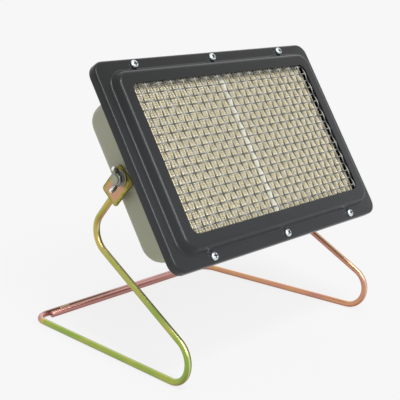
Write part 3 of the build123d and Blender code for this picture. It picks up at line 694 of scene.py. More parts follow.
def makeHousing():
    sheet, front, back = housing["sheet"], housing["front"], housing["back"]
    flangeWide, flangeHigh = housing["flange"]
    collarWide, collarHigh = housing["collar"]
    boxWide, boxHigh = housing["box"]
    shrink = (housing["boxFront"] - back) * math.tan(math.radians(housing["draft"]))
    backWide, backHigh = boxWide - 2 * shrink, boxHigh - 2 * shrink
    backCorner = housing["boxCorner"] - shrink
    collarCorner, boxFront = housing["collarCorner"], housing["boxFront"]

    def inner(wide, high, corner, level, soft=0):
        return (wide - 2 * sheet, high - 2 * sheet, corner - sheet, level, soft)

    profile = [
        inner(backWide, backHigh, backCorner, back + sheet, housing["backSoft"] - sheet),
        inner(boxWide, boxHigh, housing["boxCorner"], boxFront + sheet),
        inner(collarWide, collarHigh, collarCorner, boxFront + sheet),
        inner(collarWide, collarHigh, collarCorner, front),
        (flangeWide, flangeHigh, housing["flangeCorner"], front, 0),
        (flangeWide, flangeHigh, housing["flangeCorner"], front - sheet, 0),
        (collarWide, collarHigh, collarCorner, front - sheet, housing["collarSoft"]),
        (collarWide, collarHigh, collarCorner, boxFront, housing["collarSoft"]),
        (boxWide, boxHigh, housing["boxCorner"], boxFront, housing["shoulderSoft"]),
        (backWide, backHigh, backCorner, back, housing["backSoft"])]
    # both back walls are flat caps, so the profile starts and ends a little in from the arcs
    capWide, capHigh = backWide * 0.8, backHigh * 0.7
    profile.insert(0, (capWide, capHigh, backCorner, back + sheet, 0))
    profile.append((capWide, capHigh, backCorner, back, 0))
    rings = softProfile(profile, housing["softSteps"])
    piece = ringStack("housing_shell", rings, corner=housing["cornerSteps"],
                      capStart=True, capEnd=True)
    u, v, radius = housing["airHole"]
    hole = rod("hole", radius, back - 0.01, back + 0.01, 48)
    cut(piece, place(hole, Matrix.Translation((u, v, 0))))
    place(piece, headPlace)
    # flat pads pressed out round the studs
    radius = housing["padRadius"]
    for side in (-1, 1):
        pad = turned("pad", [(radius + wider, level) for wider, level in housing["padProfile"]],
                     40)
        place(pad, facing(pivot + across * side * housing["padX"], across * side, upward))
        cut(piece, pad, "UNION")
    dress(piece, "head", housingPaint, ["housing"], 32)


makeHousing()
print("housing made")

# screen: woven wires that pass over and under each other, in a flat border

screen = {"pitch": 0.0076, "rowDrop": 0.00195, "wire": 0.00145, "swing": 0.0005,
          "columns": 32, "rows": 19, "middle": 0.005575, "border": (0.255, 0.1535),
          "borderWidth": 0.005, "borderCorners": (0.003, 0.006), "borderSoft": 0.0008,
          "sides": 8, "stepsPerCrossing": 4}


def crimpedWire(name, crossings, reach):
    # one wire along Y; its first crossing is a crest
    pitch, steps = screen["pitch"], screen["stepsPerCrossing"]
    swing = screen["swing"]
    leaveAll()
    bpy.ops.mesh.primitive_circle_add(vertices=screen["sides"], radius=screen["wire"] / 2,
                                      rotation=(math.pi / 2, 0, 0))
    bpy.ops.object.transform_apply(location=True, rotation=True, scale=True)
    startEdit()
    bpy.ops.mesh.select_all(action="SELECT")
    bpy.ops.transform.translate(value=(0, 0, swing))
    level = swing
    for step in range(1, 2 * steps + 1):
        nextLevel = swing * math.cos(math.pi * step / steps)
        bpy.ops.mesh.extrude_region_move(
            TRANSFORM_OT_translate={"value": (0, pitch / steps, nextLevel - level)})
        level = nextLevel
    wire = finishEdit(name)
    modify(wire, "ARRAY", count=crossings // 2 + 2, use_relative_offset=False,
           use_constant_offset=True, constant_offset_displace=(0, 2 * pitch, 0),
           use_merge_vertices=True, merge_threshold=1e-5)
    # the first crossing lands on its place, counted from the middle of the screen
    selectOnly(wire)
    startEdit()
    bpy.ops.mesh.select_all(action="SELECT")
    start = -(crossings - 1) / 2 * pitch
    bpy.ops.transform.translate(value=(0, start - 2 * pitch, 0))
    for end in (-1, 1):
        bpy.ops.mesh.select_all(action="SELECT")
        bpy.ops.mesh.bisect(plane_co=(0, end * reach, 0), plane_no=(0, end, 0),
                            clear_outer=True, use_fill=True)
    return finishEdit(name)


def shiftedCopy(wire, name, shift):
    # the neighbouring wire has its crests half a wave further on
    twin = twinOf(wire)
    twin.name = name
    selectOnly(twin)
    startEdit()
    bpy.ops.mesh.select_all(action="SELECT")
    bpy.ops.transform.resize(value=(1, 1, -1), center_override=(0, 0, 0))
    bpy.ops.transform.translate(value=(shift, 0, 0))
    return finishEdit(name)


def wireField(name, wires, crossings, reach):
    pitch = screen["pitch"]
    first = crimpedWire(name, crossings, reach)
    second = shiftedCopy(first, name + "Next", pitch)
    for wire, count in ((first, (wires + 1) // 2), (second, wires // 2)):
        modify(wire, "ARRAY", count=count, use_relative_offset=False, use_constant_offset=True,
               constant_offset_displace=(2 * pitch, 0, 0))
    field = join([first, second], name)
    return place(field, Matrix.Translation((-(wires - 1) / 2 * pitch, 0, 0)))


def makeScreen():
    wide, high = screen["border"]
    edge = screen["borderWidth"]
    columns = wireField("columns", screen["columns"], screen["rows"], high / 2 - edge / 2)
    place(columns, Matrix.Translation((0, -screen["rowDrop"], 0)))
    rows = wireField("rows", screen["rows"], screen["columns"], wide / 2 - edge / 2)
    # rows lie across, and dip where the columns rise
    place(rows, Matrix.Translation((0, -screen["rowDrop"], 0)) @
          Matrix.Rotation(math.pi / 2, 4, "Z") @ Matrix.Scale(-1, 4, (0, 0, 1)))
    # the mirroring turned their faces inwards
    selectOnly(rows)
    startEdit()
    finishEdit("rows")
    thick = screen["wire"] + 2 * screen["swing"]
    inWide, inHigh = wide - 2 * edge, high - 2 * edge
    inCorner, outCorner = screen["borderCorners"]
    back = (inWide, inHigh, inCorner, -thick / 2, 0)
    rings = softProfile([back, (wide, high, outCorner, -thick / 2, 0),
                         (wide, high, outCorner, thick / 2, screen["borderSoft"]),
                         (inWide, inHigh, inCorner, thick / 2, 0), back], 3)
    border = ringStack("border", rings, corner=4)
    piece = join([columns, rows, border], "screen_weave")
    place(piece, onHead(0, 0, screen["middle"]))
    dress(piece, "head", screenWire, ["mesh_screen"], 50)


makeScreen()
print("screen made")

# tiles: slabs whose face is pierced by rows of fine flame holes

tile = {"width": 0.118, "height": 0.142, "thick": 0.013, "front": 0.001, "seam": 0.005,
        "columns": 56, "rows": 68, "rim": 0.0007, "web": 0.0005, "corner": 0.00032,
        "holeDepth": 0.0011, "holeDraft": 0.00008, "edgeSoft": 0.0007}


def makeTileSlab(name):
    wide, high, thick = tile["width"], tile["height"], tile["thick"]
    soft, margin = tile["edgeSoft"], tile["rim"] + tile["edgeSoft"]
    leaveAll()
    bpy.ops.mesh.primitive_grid_add(x_subdivisions=tile["columns"], y_subdivisions=tile["rows"],
                                    size=1)
    startEdit()
    bpy.ops.mesh.select_all(action="SELECT")
    bpy.ops.transform.resize(value=(wide - 2 * margin, high - 2 * margin, 1))
    # holes: each cell's middle, its corners cut, pushed in
    selectBy("FACE")
    bpy.ops.mesh.inset(thickness=tile["web"], depth=0, use_individual=True)
    selectBy("VERT")
    bpy.ops.mesh.bevel(affect="VERTICES", offset=tile["corner"], segments=1)
    selectWhere(lambda face: len(face.verts) == 8, "FACE")
    bpy.ops.mesh.inset(thickness=tile["holeDraft"], depth=-tile["holeDepth"], use_individual=True)
    # rim, worn edge, sides and back, drawn from the outer edges of the field
    fieldWide, fieldHigh = wide / 2 - margin - samePoint, high / 2 - margin - samePoint
    selectWhere(lambda at, along: at.z > -samePoint and
                (abs(at.x) > fieldWide or abs(at.y) > fieldHigh), "EDGE")
    reach = [wide - 2 * margin, high - 2 * margin]
    for width, height, drop in ((wide - 2 * soft, high - 2 * soft, 0), (wide, high, -soft),
                                (wide, high, soft - thick)):
        bpy.ops.mesh.extrude_edges_move(TRANSFORM_OT_translate={"value": (0, 0, drop)})
        bpy.ops.transform.resize(value=(width / reach[0], height / reach[1], 1),
                                 center_override=(0, 0, 0))
        reach = [width, height]
    bpy.ops.mesh.edge_face_add()
    return finishEdit(name)


def makeTiles():
    slab = makeTileSlab("slab")
    for side, sideName in ((-1, "left"), (1, "right")):
        twin = twinOf(slab)
        twin.name = twin.data.name = sideName + "_tile"
        place(twin, onHead(side * (tile["width"] + tile["seam"]) / 2, 0, tile["front"]))
        dress(twin, "head", tileFace, [sideName + "_plaque"], 20)
    bpy.data.objects.remove(slab)


makeTiles()
print("tiles made")

# small hardware: heads, nuts, studs and washers

screws = {"headRadius": 0.0038, "headHeight": 0.0026, "shank": 0.002, "length": 0.010,
          "pitchU": 0.0995, "pitchV": 0.1762, "recess": 0.0046, "recessWide": 0.0011,
          "nutFlats": 0.007, "nutHeight": 0.0032, "nutLevel": -0.003, "nutFit": 0.00004,
          "dome": ((0.84, 0), (0.84, 0.08), (1, 0.14), (0.99, 0.4), (0.9, 0.68), (0.72, 0.87),
                   (0.45, 0.97), (0.15, 1)),
          # how far the painted shade of the cross recess and under the head reaches
          "recessShadeRadius": 0.0026, "recessShadeLevel": 0.00215, "underHeadShadeLevel": 0.00045}
bezelSpots = [(column * screws["pitchU"], row * screws["pitchV"] / 2)
              for column in (-1, 0, 1) for row in (-1, 1)]


def hexagon(name, flats, low, high, bore=0.0):
    # a hexagon whose corners are turned down at both ends
    corner = flats / math.sqrt(3)
    block = rod(name, corner, low, high, 6)
    drop = (corner - flats / 2) * hexForm["cornerDrop"]
    face, turn = flats / 2 * hexForm["faceShare"], corner * hexForm["cornerShare"]
    shape = turned("shape", [(face, low), (turn, low + drop), (turn, high - drop), (face, high)],
                   hexForm["sides"])
    cut(block, shape, "INTERSECT")
    if bore:
        cut(block, rod("bore", bore, low - 0.001, high + 0.001, hexForm["boreSides"]))
    block.name = block.data.name = name
    return block


def makeScrews():
    radius, height = screws["headRadius"], screws["headHeight"]
    shank, length = screws["shank"], screws["length"]
    profile = [(shank * 0.8, -length), (shank, -length + 0.0005), (shank, 0)]
    profile += [(radius * share, height * level) for share, level in screws["dome"]]
    screw = turned("screw", profile, 28)
    for turn in (45, 135):
        leaveAll()
        bpy.ops.mesh.primitive_cube_add(size=1)
        slot = bpy.context.object
        place(slot, Matrix.Translation((0, 0, height)) @
              Matrix.Rotation(math.radians(turn), 4, "Z") @
              Matrix.Diagonal((screws["recess"], screws["recessWide"], height, 1)))
        cut(screw, slot)
    spots = [onHead(u, v, 0) @ Matrix.Rotation(u * 40, 4, "Z") for u, v in bezelSpots]
    piece = copyTo(screw, spots, "pan_head_screws")
    dress(piece, "head", makeScrewZinc(), ["bezel_screws"], 30)
    nut = hexagon("nut", screws["nutFlats"], seatGap, screws["nutHeight"],
                  shank + screws["nutFit"])
    spots = [onHead(u, v, screws["nutLevel"], flip=True) for u, v in bezelSpots]
    nuts = copyTo(nut, spots, "bezel_hex_nuts")
    dress(nuts, "head", blueZinc, ["bezel_nuts"], 30)


makeScrews()
print("screws made")

clamp = {"spacerRadius": 0.007, "washerRadius": 0.0072, "washerThick": 0.0016, "gap": 0.00025,
         "studRadius": 0.004, "studFoot": (0.009, 0.0015), "plainLength": 0.006,
         "studTip": 0.0006, "threadPitch": 0.00125, "ringFit": 0.00005, "ringSoft": 0.0003,
         "turnFit": 0.00006, "hubRadius": 0.0066, "hubHeight": 0.0046,
         "wingThick": 0.0024, "wingLean": 9, "grain": 0.00022,
         "wing": ((0.0030, 0.0008, 0.0030, 0.0040), (0.0068, 0.0010, 0.0050, 0.0046),
                  (0.0094, 0.0028, 0.0066, 0.0060), (0.0112, 0.0054, 0.0080, 0.0080),
                  (0.0122, 0.0074, 0.0092, 0.0095))}
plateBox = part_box("bracket_plates")
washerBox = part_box("pivot_washers")
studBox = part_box("pivot_studs")
plateOut = plateBox[1].x
plateThick = 0.002
plateIn = plateOut - plateThick
washerOut = washerBox[1].x
wingSeat = washerOut + clamp["gap"]
wingUp = Matrix.Rotation(math.radians(clamp["wingLean"]), 3, "X") @ Vector((0, 0, 1))


def bothSides(distance, up=Vector((0, 0, 1))):
    return [facing(pivot + across * side * distance, across * side, up) for side in (-1, 1)]


def makeStuds():
    radius = clamp["studRadius"]
    inside, outside = housing["padX"] - housing["sheet"], studBox[1].x
    pitch, depth = clamp["threadPitch"], clamp["threadPitch"] * 0.4
    footRadius, footThick = clamp["studFoot"]
    level, tip = clamp["plainLength"], clamp["studTip"]
    profile = [(footRadius, -footThick), (footRadius, 0), (radius, 0), (radius, level)]
    while level + pitch < outside - inside - tip:
        profile += [(radius - depth, level + pitch * 0.5), (radius, level + pitch * 0.9),
                    (radius, level + pitch)]
        level += pitch
    profile += [(radius, outside - inside - tip), (radius - tip, outside - inside)]
    stud = turned("stud", profile, 28)
    piece = copyTo(stud, bothSides(inside), "threaded_studs")
    dress(piece, "head", housingPaint, ["pivot_studs"], 30)


def tube(name, inner, outer, high):
    soft = clamp["ringSoft"]
    return turned(name, [(inner, 0), (outer - soft, 0), (outer, soft), (outer, high - soft),
                         (outer - soft, high), (inner, high), (inner, 0)], 36, closed=True)


def makeRings():
    bore = clamp["studRadius"] + clamp["ringFit"]
    spacer = tube("spacer", bore, clamp["spacerRadius"],
                  plateIn - clamp["gap"] - housing["padX"])
    piece = copyTo(spacer, bothSides(housing["padX"]), "spacer_rings")
    dress(piece, "head", blueZinc, ["pivot_spacers"], 30)
    washer = tube("washer", bore, clamp["washerRadius"], clamp["washerThick"])
    piece = copyTo(washer, bothSides(plateOut + clamp["gap"]), "washer_rings")
    dress(piece, "head", washerZinc, ["pivot_washers"], 30)


def drawnPlate(name, stations, thick):
    # a flat plate in the X-Z plane: its outer edge is pulled from station to station
    leaveAll()
    bpy.ops.mesh.primitive_plane_add(size=1, rotation=(math.pi / 2, 0, 0))
    bpy.ops.object.transform_apply(location=True, rotation=True, scale=True)
    startEdit()
    corners = [Vector((x, 0, z)) for x, z in (stations[0][:2], stations[0][2:],
                                             stations[1][:2], stations[1][2:])]
    starts = [Vector(at) for at in ((-0.5, 0, -0.5), (-0.5, 0, 0.5), (0.5, 0, -0.5), (0.5, 0, 0.5))]
    for start, corner in zip(starts, corners):
        selectWhere(lambda at: (at - start).length < 1e-4)
        bpy.ops.transform.translate(value=corner - start)
    low, high = corners[2:]
    for lowX, lowZ, highX, highZ in stations[2:]:
        selectWhere(lambda at: min((at - low).length, (at - high).length) < samePoint)
        bpy.ops.mesh.extrude_edges_move(TRANSFORM_OT_translate={"value": (1, 0, 0)})
        nextLow, nextHigh = Vector((lowX, 0, lowZ)), Vector((highX, 0, highZ))
        for old, new in ((low, nextLow), (high, nextHigh)):
            selectWhere(lambda at: (at - old - Vector((1, 0, 0))).length < samePoint)
            bpy.ops.transform.translate(value=new - old - Vector((1, 0, 0)))
        low, high = nextLow, nextHigh
    selectWhere(lambda at: min((at - low).length, (at - high).length) < samePoint)
    bpy.ops.mesh.bevel(affect="VERTICES", offset=thick * 0.5, segments=5)
    plate = finishEdit(name)
    modify(plate, "SOLIDIFY", thickness=thick, offset=0)
    return plate


def makeWingNuts():
    radius, height = clamp["hubRadius"], clamp["hubHeight"]
    bore = clamp["studRadius"] + clamp["turnFit"]
    hub = turned("hub", [(radius - 0.0003, 0), (radius, 0.0003), (radius, 0.001),
                         (radius * 0.86, height - 0.0008), (radius * 0.76, height)], 48)
    for side in (-1, 1):
        wing = drawnPlate("wing", clamp["wing"], clamp["wingThick"])
        if side < 0:
            place(wing, Matrix.Rotation(math.pi, 4, "Z"))
        cut(hub, wing, "UNION")
    # the casting's soft inner corners
    modify(hub, "REMESH", mode="VOXEL", voxel_size=clamp["grain"])
    modify(hub, "SMOOTH", factor=0.5, iterations=6)
    cut(hub, rod("bore", bore, -0.001, 0.02, 48))
    castNickel = makeCastNickel()
    for seat, sideName in zip(bothSides(wingSeat, wingUp), ("left", "right")):
        nut = twinOf(hub)
        nut.name = nut.data.name = sideName + "_wing_nut_cast"
        place(nut, seat)
        dress(nut, sideName + "_wing_nut", castNickel,
              [sideName + "_wing_nut"], 60)
    bpy.data.objects.remove(hub)


makeStuds()
makeRings()
makeWingNuts()
print("pivot hardware made")

# stand: each leg is one wire, bent at the knee, the toe and the rear corner

stand = {"wire": 0.006, "sides": 32, "bendStep": 5, "rearHalfWidth": 0.11925, "splay": 3.3,
         "lean": 0.35, "rearY": 0.10793, "barGap": 0.0001, "tailReach": 0.1035,
         "frontLegAngle": 29.3, "kneeLength": 0.068, "bends": (0.020, 0.0204, 0.016),
         "plateSize": (0.033, 0.022), "plateCorner": 0.003, "plateSoft": 0.0006,
         "plateAngle": 49, "plateSlide": 0.00875, "plateShift": 0.0011, "lap": 0.010}
plateTurn = math.radians(stand["plateAngle"])
plateUp = Vector((0, -math.cos(plateTurn), math.sin(plateTurn)))
plateFront = Vector((0, -math.sin(plateTurn), -math.cos(plateTurn)))
plateMiddle = pivot - plateUp * stand["plateSlide"] + plateFront * stand["plateShift"]
wireTop = plateMiddle - plateUp * (stand["plateSize"][0] / 2 - stand["lap"])
knee = plateMiddle - plateUp * stand["kneeLength"]
wireRadius = stand["wire"] / 2
toeY = knee.y - (knee.z - wireRadius) / math.tan(math.radians(stand["frontLegAngle"]))


def legPoint(side, y, z):
    x = (stand["rearHalfWidth"] + (stand["rearY"] - y) * math.tan(math.radians(stand["splay"]))
         - z * math.tan(math.radians(stand["lean"])))
    return Vector((side * x, y, z))


def makeLegs():
    for side, sideName in ((-1, "left"), (1, "right")):
        barY = stand["rearY"] - (0 if side < 0 else stand["wire"] + stand["barGap"])
        points = [legPoint(side, wireTop.y, wireTop.z), legPoint(side, knee.y, knee.z),
                  legPoint(side, toeY, wireRadius), legPoint(side, barY, wireRadius),
                  Vector((-side * stand["tailReach"], barY, wireRadius))]
        leg = bentWire(sideName + "_leg", points, stand["bends"], stand["wire"],
                       stand["sides"], stand["bendStep"])
        dress(leg, "stand", chromate, [sideName + "_leg_wire"], 50)


def makePlates():
    long, wide = stand["plateSize"]
    corner, soft = stand["plateCorner"], stand["plateSoft"]
    rings = softProfile([(long * 0.7, wide * 0.6, corner, 0, 0),
                         (long, wide, corner, 0, soft * 0.5),
                         (long, wide, corner, plateThick, soft),
                         (long * 0.7, wide * 0.6, corner, plateThick, 0)], 3)
    plate = ringStack("plate", rings, capStart=True, capEnd=True)
    bore = clamp["studRadius"] + clamp["turnFit"]
    hole = rod("hole", bore, -0.001, 0.004, 32)
    plates = []
    for side in (-1, 1):
        out, inner = across * side, across * side * plateIn
        twin = place(twinOf(plate), facing(plateMiddle + inner, out, plateUp))
        drill = place(twinOf(hole), facing(pivot + inner, out, plateUp))
        plates.append(cut(twin, drill))
    bpy.data.objects.remove(plate)
    bpy.data.objects.remove(hole)
    piece = join(plates, "pivot_plates")
    dress(piece, "stand", makePlateChromate(), ["bracket_plates"], 30)


weld = {"plateBead": (0.0012, 5), "offFront": 0.0034, "offSide": 0.0021,
        "barBead": (0.0013, 7), "barX": 0.084, "barHalf": 0.006, "barLevel": 0.0054}


def bead(start, end, radius, ripples):
    # a run of weld: ripple after ripple, thin at both ends
    length = (end - start).length
    steps = ripples * 3
    profile = []
    for step in range(steps + 1):
        share = step / steps
        swell = min(1, 6 * share, 6 * (1 - share)) ** 0.5
        ripple = 0.06 * math.cos(2 * math.pi * ripples * share)
        profile.append((radius * max(0.25, swell * (0.94 + ripple)), length * share))
    return place(turned("bead", profile, 14), facing(start, end - start, Vector((1, 0, 0.1))))


def makeWelds():
    beads = []
    for side in (-1, 1):
        # in the two grooves between the wire and the plate, from just below the plate's edge
        low = legPoint(side, *(plateMiddle - plateUp * stand["plateSize"][0] / 2)[1:])
        top = legPoint(side, wireTop.y, wireTop.z)
        along = (top - low).normalized()
        for edge in (-1, 1):
            groove = plateFront * edge * weld["offFront"] + across * side * weld["offSide"]
            beads.append(bead(low + along * 0.0004 + groove, top - along * 0.001 + groove,
                              *weld["plateBead"]))
    piece = join(beads, "plate_weld_beads")
    dress(piece, "stand", weldMetal, ["bracket_welds"], 60)
    valley = stand["rearY"] - wireRadius - stand["barGap"] / 2
    half, level = weld["barHalf"], weld["barLevel"]
    beads = [bead(Vector((x - half, valley, level)), Vector((x + half, valley, level)),
                  *weld["barBead"]) for x in (-weld["barX"], weld["barX"])]
    piece = join(beads, "bar_weld_beads")
    dress(piece, "stand", weldMetal, ["rear_bar_welds"], 60)


makeLegs()
makePlates()
makeWelds()
print("stand made")

# gas inlet on the back

inlet = {"u": 0.058, "v": -0.022, "strap": 0.0015, "strapWide": 0.018, "strapHigh": 0.024,
         "strapSoft": 0.0003, "foot": 0.015, "footHole": 0.0023, "bendRadius": 0.003,
         "bell": 0.017, "screwFlats": 0.007, "screwHeight": 0.0028,
         "shank": 0.005, "shankFit": 0.00005, "locknutHigh": 0.005, "hex": 0.014,
         "hexHigh": 0.007, "bores": ((0.0025, -0.015, 24), (0.004, -0.002, 32)),
         "boreTop": 0.008, "jetHex": 0.007, "jetLevels": (-0.018, -0.01402),
         "jetStem": (0.00245, -0.0145, -0.005), "jetBore": (0.0006, -0.019, -0.004),
         "nozzle": 0.0045, "nozzleBore": 0.0026, "plain": 0.010, "barbs": 3,
         "barbPitch": 0.0045}


def makeStrap():
    backOut = housing["back"]
    legU, level = inlet["bell"] + inlet["strap"], inlet["strap"] / 2
    footU, top = legU + inlet["foot"], inlet["strap"] / 2 + inlet["strapHigh"]
    path = [Vector((u, 0, z)) for u, z in
            ((-footU, level), (-legU, level), (-legU, top), (legU, top), (legU, level),
             (footU, level))]
    leaveAll()
    bpy.ops.mesh.primitive_plane_add(size=1)
    startEdit()
    selectWhere(lambda at: at.x > 0)
    bpy.ops.mesh.delete(type="VERT")
    bpy.ops.mesh.select_all(action="SELECT")
    bpy.ops.transform.translate(value=(0.5, 0, 0))
    bpy.ops.transform.resize(value=(1, inlet["strapWide"], 1))
    bpy.ops.transform.translate(value=path[0])
    drawAlong(path, [inlet["bendRadius"]] * 4, 15)
    strap = finishEdit("strap")
    modify(strap, "SOLIDIFY", thickness=inlet["strap"], offset=0)
    bore = inlet["shank"] + inlet["shankFit"]
    cut(strap, rod("hole", bore, top - 0.003, top + 0.003, 32))
    footMiddle = legU + inlet["foot"] / 2
    for side in (-1, 1):
        hole = rod("hole", inlet["footHole"], -0.002, 0.004, 24)
        cut(strap, place(hole, Matrix.Translation((side * footMiddle, 0, 0))))
    modify(strap, "BEVEL", width=inlet["strapSoft"], segments=2, limit_method="ANGLE",
           angle_limit=math.radians(50), miter_outer="MITER_ARC")
    place(strap, onHead(inlet["u"], inlet["v"], backOut, flip=True))
    strap.name = strap.data.name = "inlet_strap"
    dress(strap, "head", plainSteel, ["injector_bracket"], 30)
    screw = join([hexagon("head", inlet["screwFlats"], seatGap, inlet["screwHeight"]),
                  turned("shank", [(0.0018, -0.007), (0.002, -0.0066), (0.002, 0.0004)], 20)],
                 "screw")
    seats = [onHead(inlet["u"] + side * footMiddle, inlet["v"], backOut - inlet["strap"], flip=True)
             for side in (-1, 1)]
    piece = copyTo(screw, seats, "strap_screws")
    dress(piece, "head", blueZinc, ["injector_bracket_screws"], 30)


def makeBrass():
    # levels run back from the outer face of the strap
    web = onHead(inlet["u"], inlet["v"],
                 housing["back"] - inlet["strapHigh"] - inlet["strap"], flip=True)
    hexHigh = inlet["hexHigh"]
    body = hexagon("body", inlet["hex"], seatGap, hexHigh)
    shank = turned("shank", [(inlet["shank"] - 0.0004, -0.014), (inlet["shank"], -0.0136),
                             (inlet["shank"], 0.0005)], 32)
    cut(body, shank, "UNION")
    for radius, low, sides in inlet["bores"]:
        cut(body, rod("bore", radius, low, inlet["boreTop"], sides))
    body.name = body.data.name = "injector_hex_body"
    dress(place(body, web), "head", brass, ["injector_body"], 30)
    locknut = hexagon("lock_hex_nut", inlet["hex"], -inlet["strap"] - inlet["locknutHigh"],
                      -inlet["strap"], inlet["shank"] + inlet["shankFit"])
    dress(place(locknut, web), "head", brass, ["injector_locknut"], 30)
    jet = hexagon("jet", inlet["jetHex"], *inlet["jetLevels"])
    cut(jet, rod("stem", *inlet["jetStem"], 24), "UNION")
    cut(jet, rod("bore", *inlet["jetBore"], 16))
    jet.name = jet.data.name = "jet_hex"
    dress(place(jet, web), "head", brass, ["injector_jet"], 30)
    start = hexHigh + 0.006
    outer, bore = inlet["nozzle"], inlet["nozzleBore"]
    level = start + inlet["plain"]
    profile = [(bore, -0.002), (0.0039, -0.002), (0.0039, start - 0.003), (outer, start - 0.003),
               (outer, level - 0.0001)]
    for barb in range(inlet["barbs"]):
        profile += [(outer * 0.8, level), (outer, level + 0.0003), (outer, level + 0.0011),
                    (outer * 0.8, level + inlet["barbPitch"] - 0.0002)]
        level += inlet["barbPitch"]
    profile += [(outer * 0.76, level), (bore, level), (bore, -0.002)]
    tail = turned("tail", profile, 32, closed=True)
    nozzle = hexagon("nozzle", inlet["hex"], hexHigh + seatGap, start, bore + 0.001)
    cut(nozzle, tail, "UNION")
    nozzle.name = nozzle.data.name = "hose_tail"
    dress(place(nozzle, web), "head", brass, ["hose_nozzle"], 30)


mixer = {"wall": 0.001, "sides": 32, "lip": 0.0045, "level": 0.0255, "elbow": 0.0128,
         "run": 0.104,
         "mouth": ((0.0174, 0.0005), (0.0166, 0.0012), (0.0148, 0.004), (0.0131, 0.008),
                   (0.0118, 0.012))}


def makeMixer():
    # bell mouth, then a short neck, an elbow and the run across the inside of the housing
    wall, level = mixer["wall"], mixer["level"]
    backIn = housing["back"] + housing["sheet"]
    radius, at = inlet["bell"] + mixer["lip"], wall / 2
    leaveAll()
    bpy.ops.mesh.primitive_circle_add(vertices=mixer["sides"], radius=radius)
    startEdit()
    bpy.ops.mesh.select_all(action="SELECT")
    bpy.ops.transform.translate(value=(0, 0, at))
    for nextRadius, nextAt in mixer["mouth"]:
        bpy.ops.mesh.extrude_region_move(TRANSFORM_OT_translate={"value": (0, 0, nextAt - at)})
        bpy.ops.transform.resize(value=(nextRadius / radius, nextRadius / radius, 1))
        radius, at = nextRadius, nextAt
    drawAlong([Vector((0, 0, at)), Vector((0, 0, level)), Vector((-mixer["run"], 0, level))],
              [mixer["elbow"]], 12)
    piece = finishEdit("mixing_tube")
    modify(piece, "SOLIDIFY", thickness=wall * 0.8, offset=0)
    place(piece, onHead(inlet["u"], inlet["v"], backIn + 0.00003))
    dress(piece, "head", plainSteel, ["mixer_tube"], 40)


makeStrap()
makeBrass()
makeMixer()
print("gas inlet made")

# CAD nodes that keep their shape get their finish here
kept = {"plaque_seam": cement, "plaque_gasket": fibre, "plaque_tray": plainSteel,
        "diffuser_plate": plainSteel, "injector_bracket_nuts": blueZinc}
for nodeName, finish in kept.items():
    for materialSlot in nodes[nodeName].material_slots:
        materialSlot.material = finish

# room: pale floor without end, pale sky, two soft suns from the front and a weak one behind

room = {"floor": 0.74, "sky": 0.93, "ambient": 0.52, "seenWhite": 0.88,
        "key": (1.25, (0.15, 0.37, -0.92), 16), "side": (1.6, (0.26, 0.74, -0.62), 28),
        "back": (0.35, (-0.6, -0.5, -0.5), 60)}


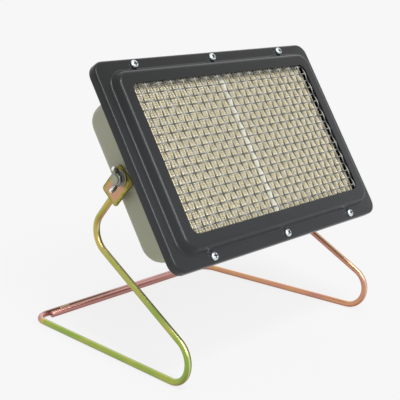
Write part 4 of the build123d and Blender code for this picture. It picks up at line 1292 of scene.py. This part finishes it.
def makeRoom():
    leaveAll()
    bpy.ops.mesh.primitive_grid_add(x_subdivisions=4, y_subdivisions=4, size=80)
    floor = bpy.context.object
    floor.name = "floor"
    paint = Finish("floorPaint", Base_Color=grey(room["floor"]), Roughness=0.9,
                   Specular_IOR_Level=0.0)
    # the camera and the metal see the floor's shadows on a whiter ground
    seen = paint.node("LightPath") + paint.node("LightPath", output="Is Glossy Ray")
    seen = seen * room["seenWhite"]
    white = paint.node("Emission", values={"Color": grey(room["sky"]), "Strength": 1.0})
    blend = paint.node("MixShader", values={0: seen, 1: Value(paint, paint.shader.outputs[0]),
                                            2: white})
    paint.tree.links.new(blend.socket, paint.tree.nodes["Material Output"].inputs[0])
    floor.data.materials.append(paint.material)
    world = bpy.context.scene.world or bpy.data.worlds.new("world")
    bpy.context.scene.world = world
    world.use_nodes = True
    tree = world.node_tree
    tree.nodes.clear()
    out = tree.nodes.new("ShaderNodeOutputWorld")
    mix = tree.nodes.new("ShaderNodeMixShader")
    rays = tree.nodes.new("ShaderNodeLightPath")
    seen = tree.nodes.new("ShaderNodeBackground")
    lit = tree.nodes.new("ShaderNodeBackground")
    seen.inputs[0].default_value = (*grey(room["sky"]), 1)
    lit.inputs[0].default_value = (0.98, 0.99, 1, 1)
    lit.inputs[1].default_value = room["ambient"]
    total = None
    for ray in ("Is Camera Ray", "Is Glossy Ray", "Is Transmission Ray"):
        if total is None:
            total = rays.outputs[ray]
            continue
        add = tree.nodes.new("ShaderNodeMath")
        add.operation = "MAXIMUM"
        tree.links.new(total, add.inputs[0])
        tree.links.new(rays.outputs[ray], add.inputs[1])
        total = add.outputs[0]
    tree.links.new(total, mix.inputs[0])
    tree.links.new(lit.outputs[0], mix.inputs[1])
    tree.links.new(seen.outputs[0], mix.inputs[2])
    tree.links.new(mix.outputs[0], out.inputs[0])
    for name in ("key", "side", "back"):
        strength, aim, spread = room[name]
        aim = Vector(aim)
        leaveAll()
        bpy.ops.object.light_add(type="SUN", location=-aim * 2)
        light = bpy.context.object
        light.name = name + "Light"
        light.rotation_euler = aim.to_track_quat("-Z", "Y").to_euler()
        light.data.energy = strength
        light.data.angle = math.radians(spread)


view = {"yaw": 48.05, "pitch": 14.14, "roll": 1.08, "spot": (-0.6556, -0.58899, 0.34219),
        "lens": 84.724, "shift": (-0.0008, 0.0001)}


def makeCamera():
    yaw, pitch, roll = (math.radians(view[part]) for part in ("yaw", "pitch", "roll"))
    ahead = Vector((math.sin(yaw) * math.cos(pitch), math.cos(yaw) * math.cos(pitch),
                    -math.sin(pitch)))
    right = ahead.cross(Vector((0, 0, 1))).normalized()
    up = right.cross(ahead)
    rolledRight = right * math.cos(roll) + up * math.sin(roll)
    rolledUp = up * math.cos(roll) - right * math.sin(roll)
    leaveAll()
    bpy.ops.object.camera_add()
    camera = bpy.context.object
    turn = Matrix((rolledRight, rolledUp, -ahead)).transposed().to_4x4()
    camera.matrix_world = Matrix.Translation(view["spot"]) @ turn
    camera.data.lens = view["lens"]
    camera.data.sensor_width = 36
    camera.data.shift_x, camera.data.shift_y = view["shift"]
    camera.data.clip_end = 200
    bpy.context.scene.camera = camera


makeRoom()
makeCamera()
bpy.context.scene.view_settings.view_transform = "Standard"
print("room and camera made")

leaveAll()
bpy.context.view_layer.update()
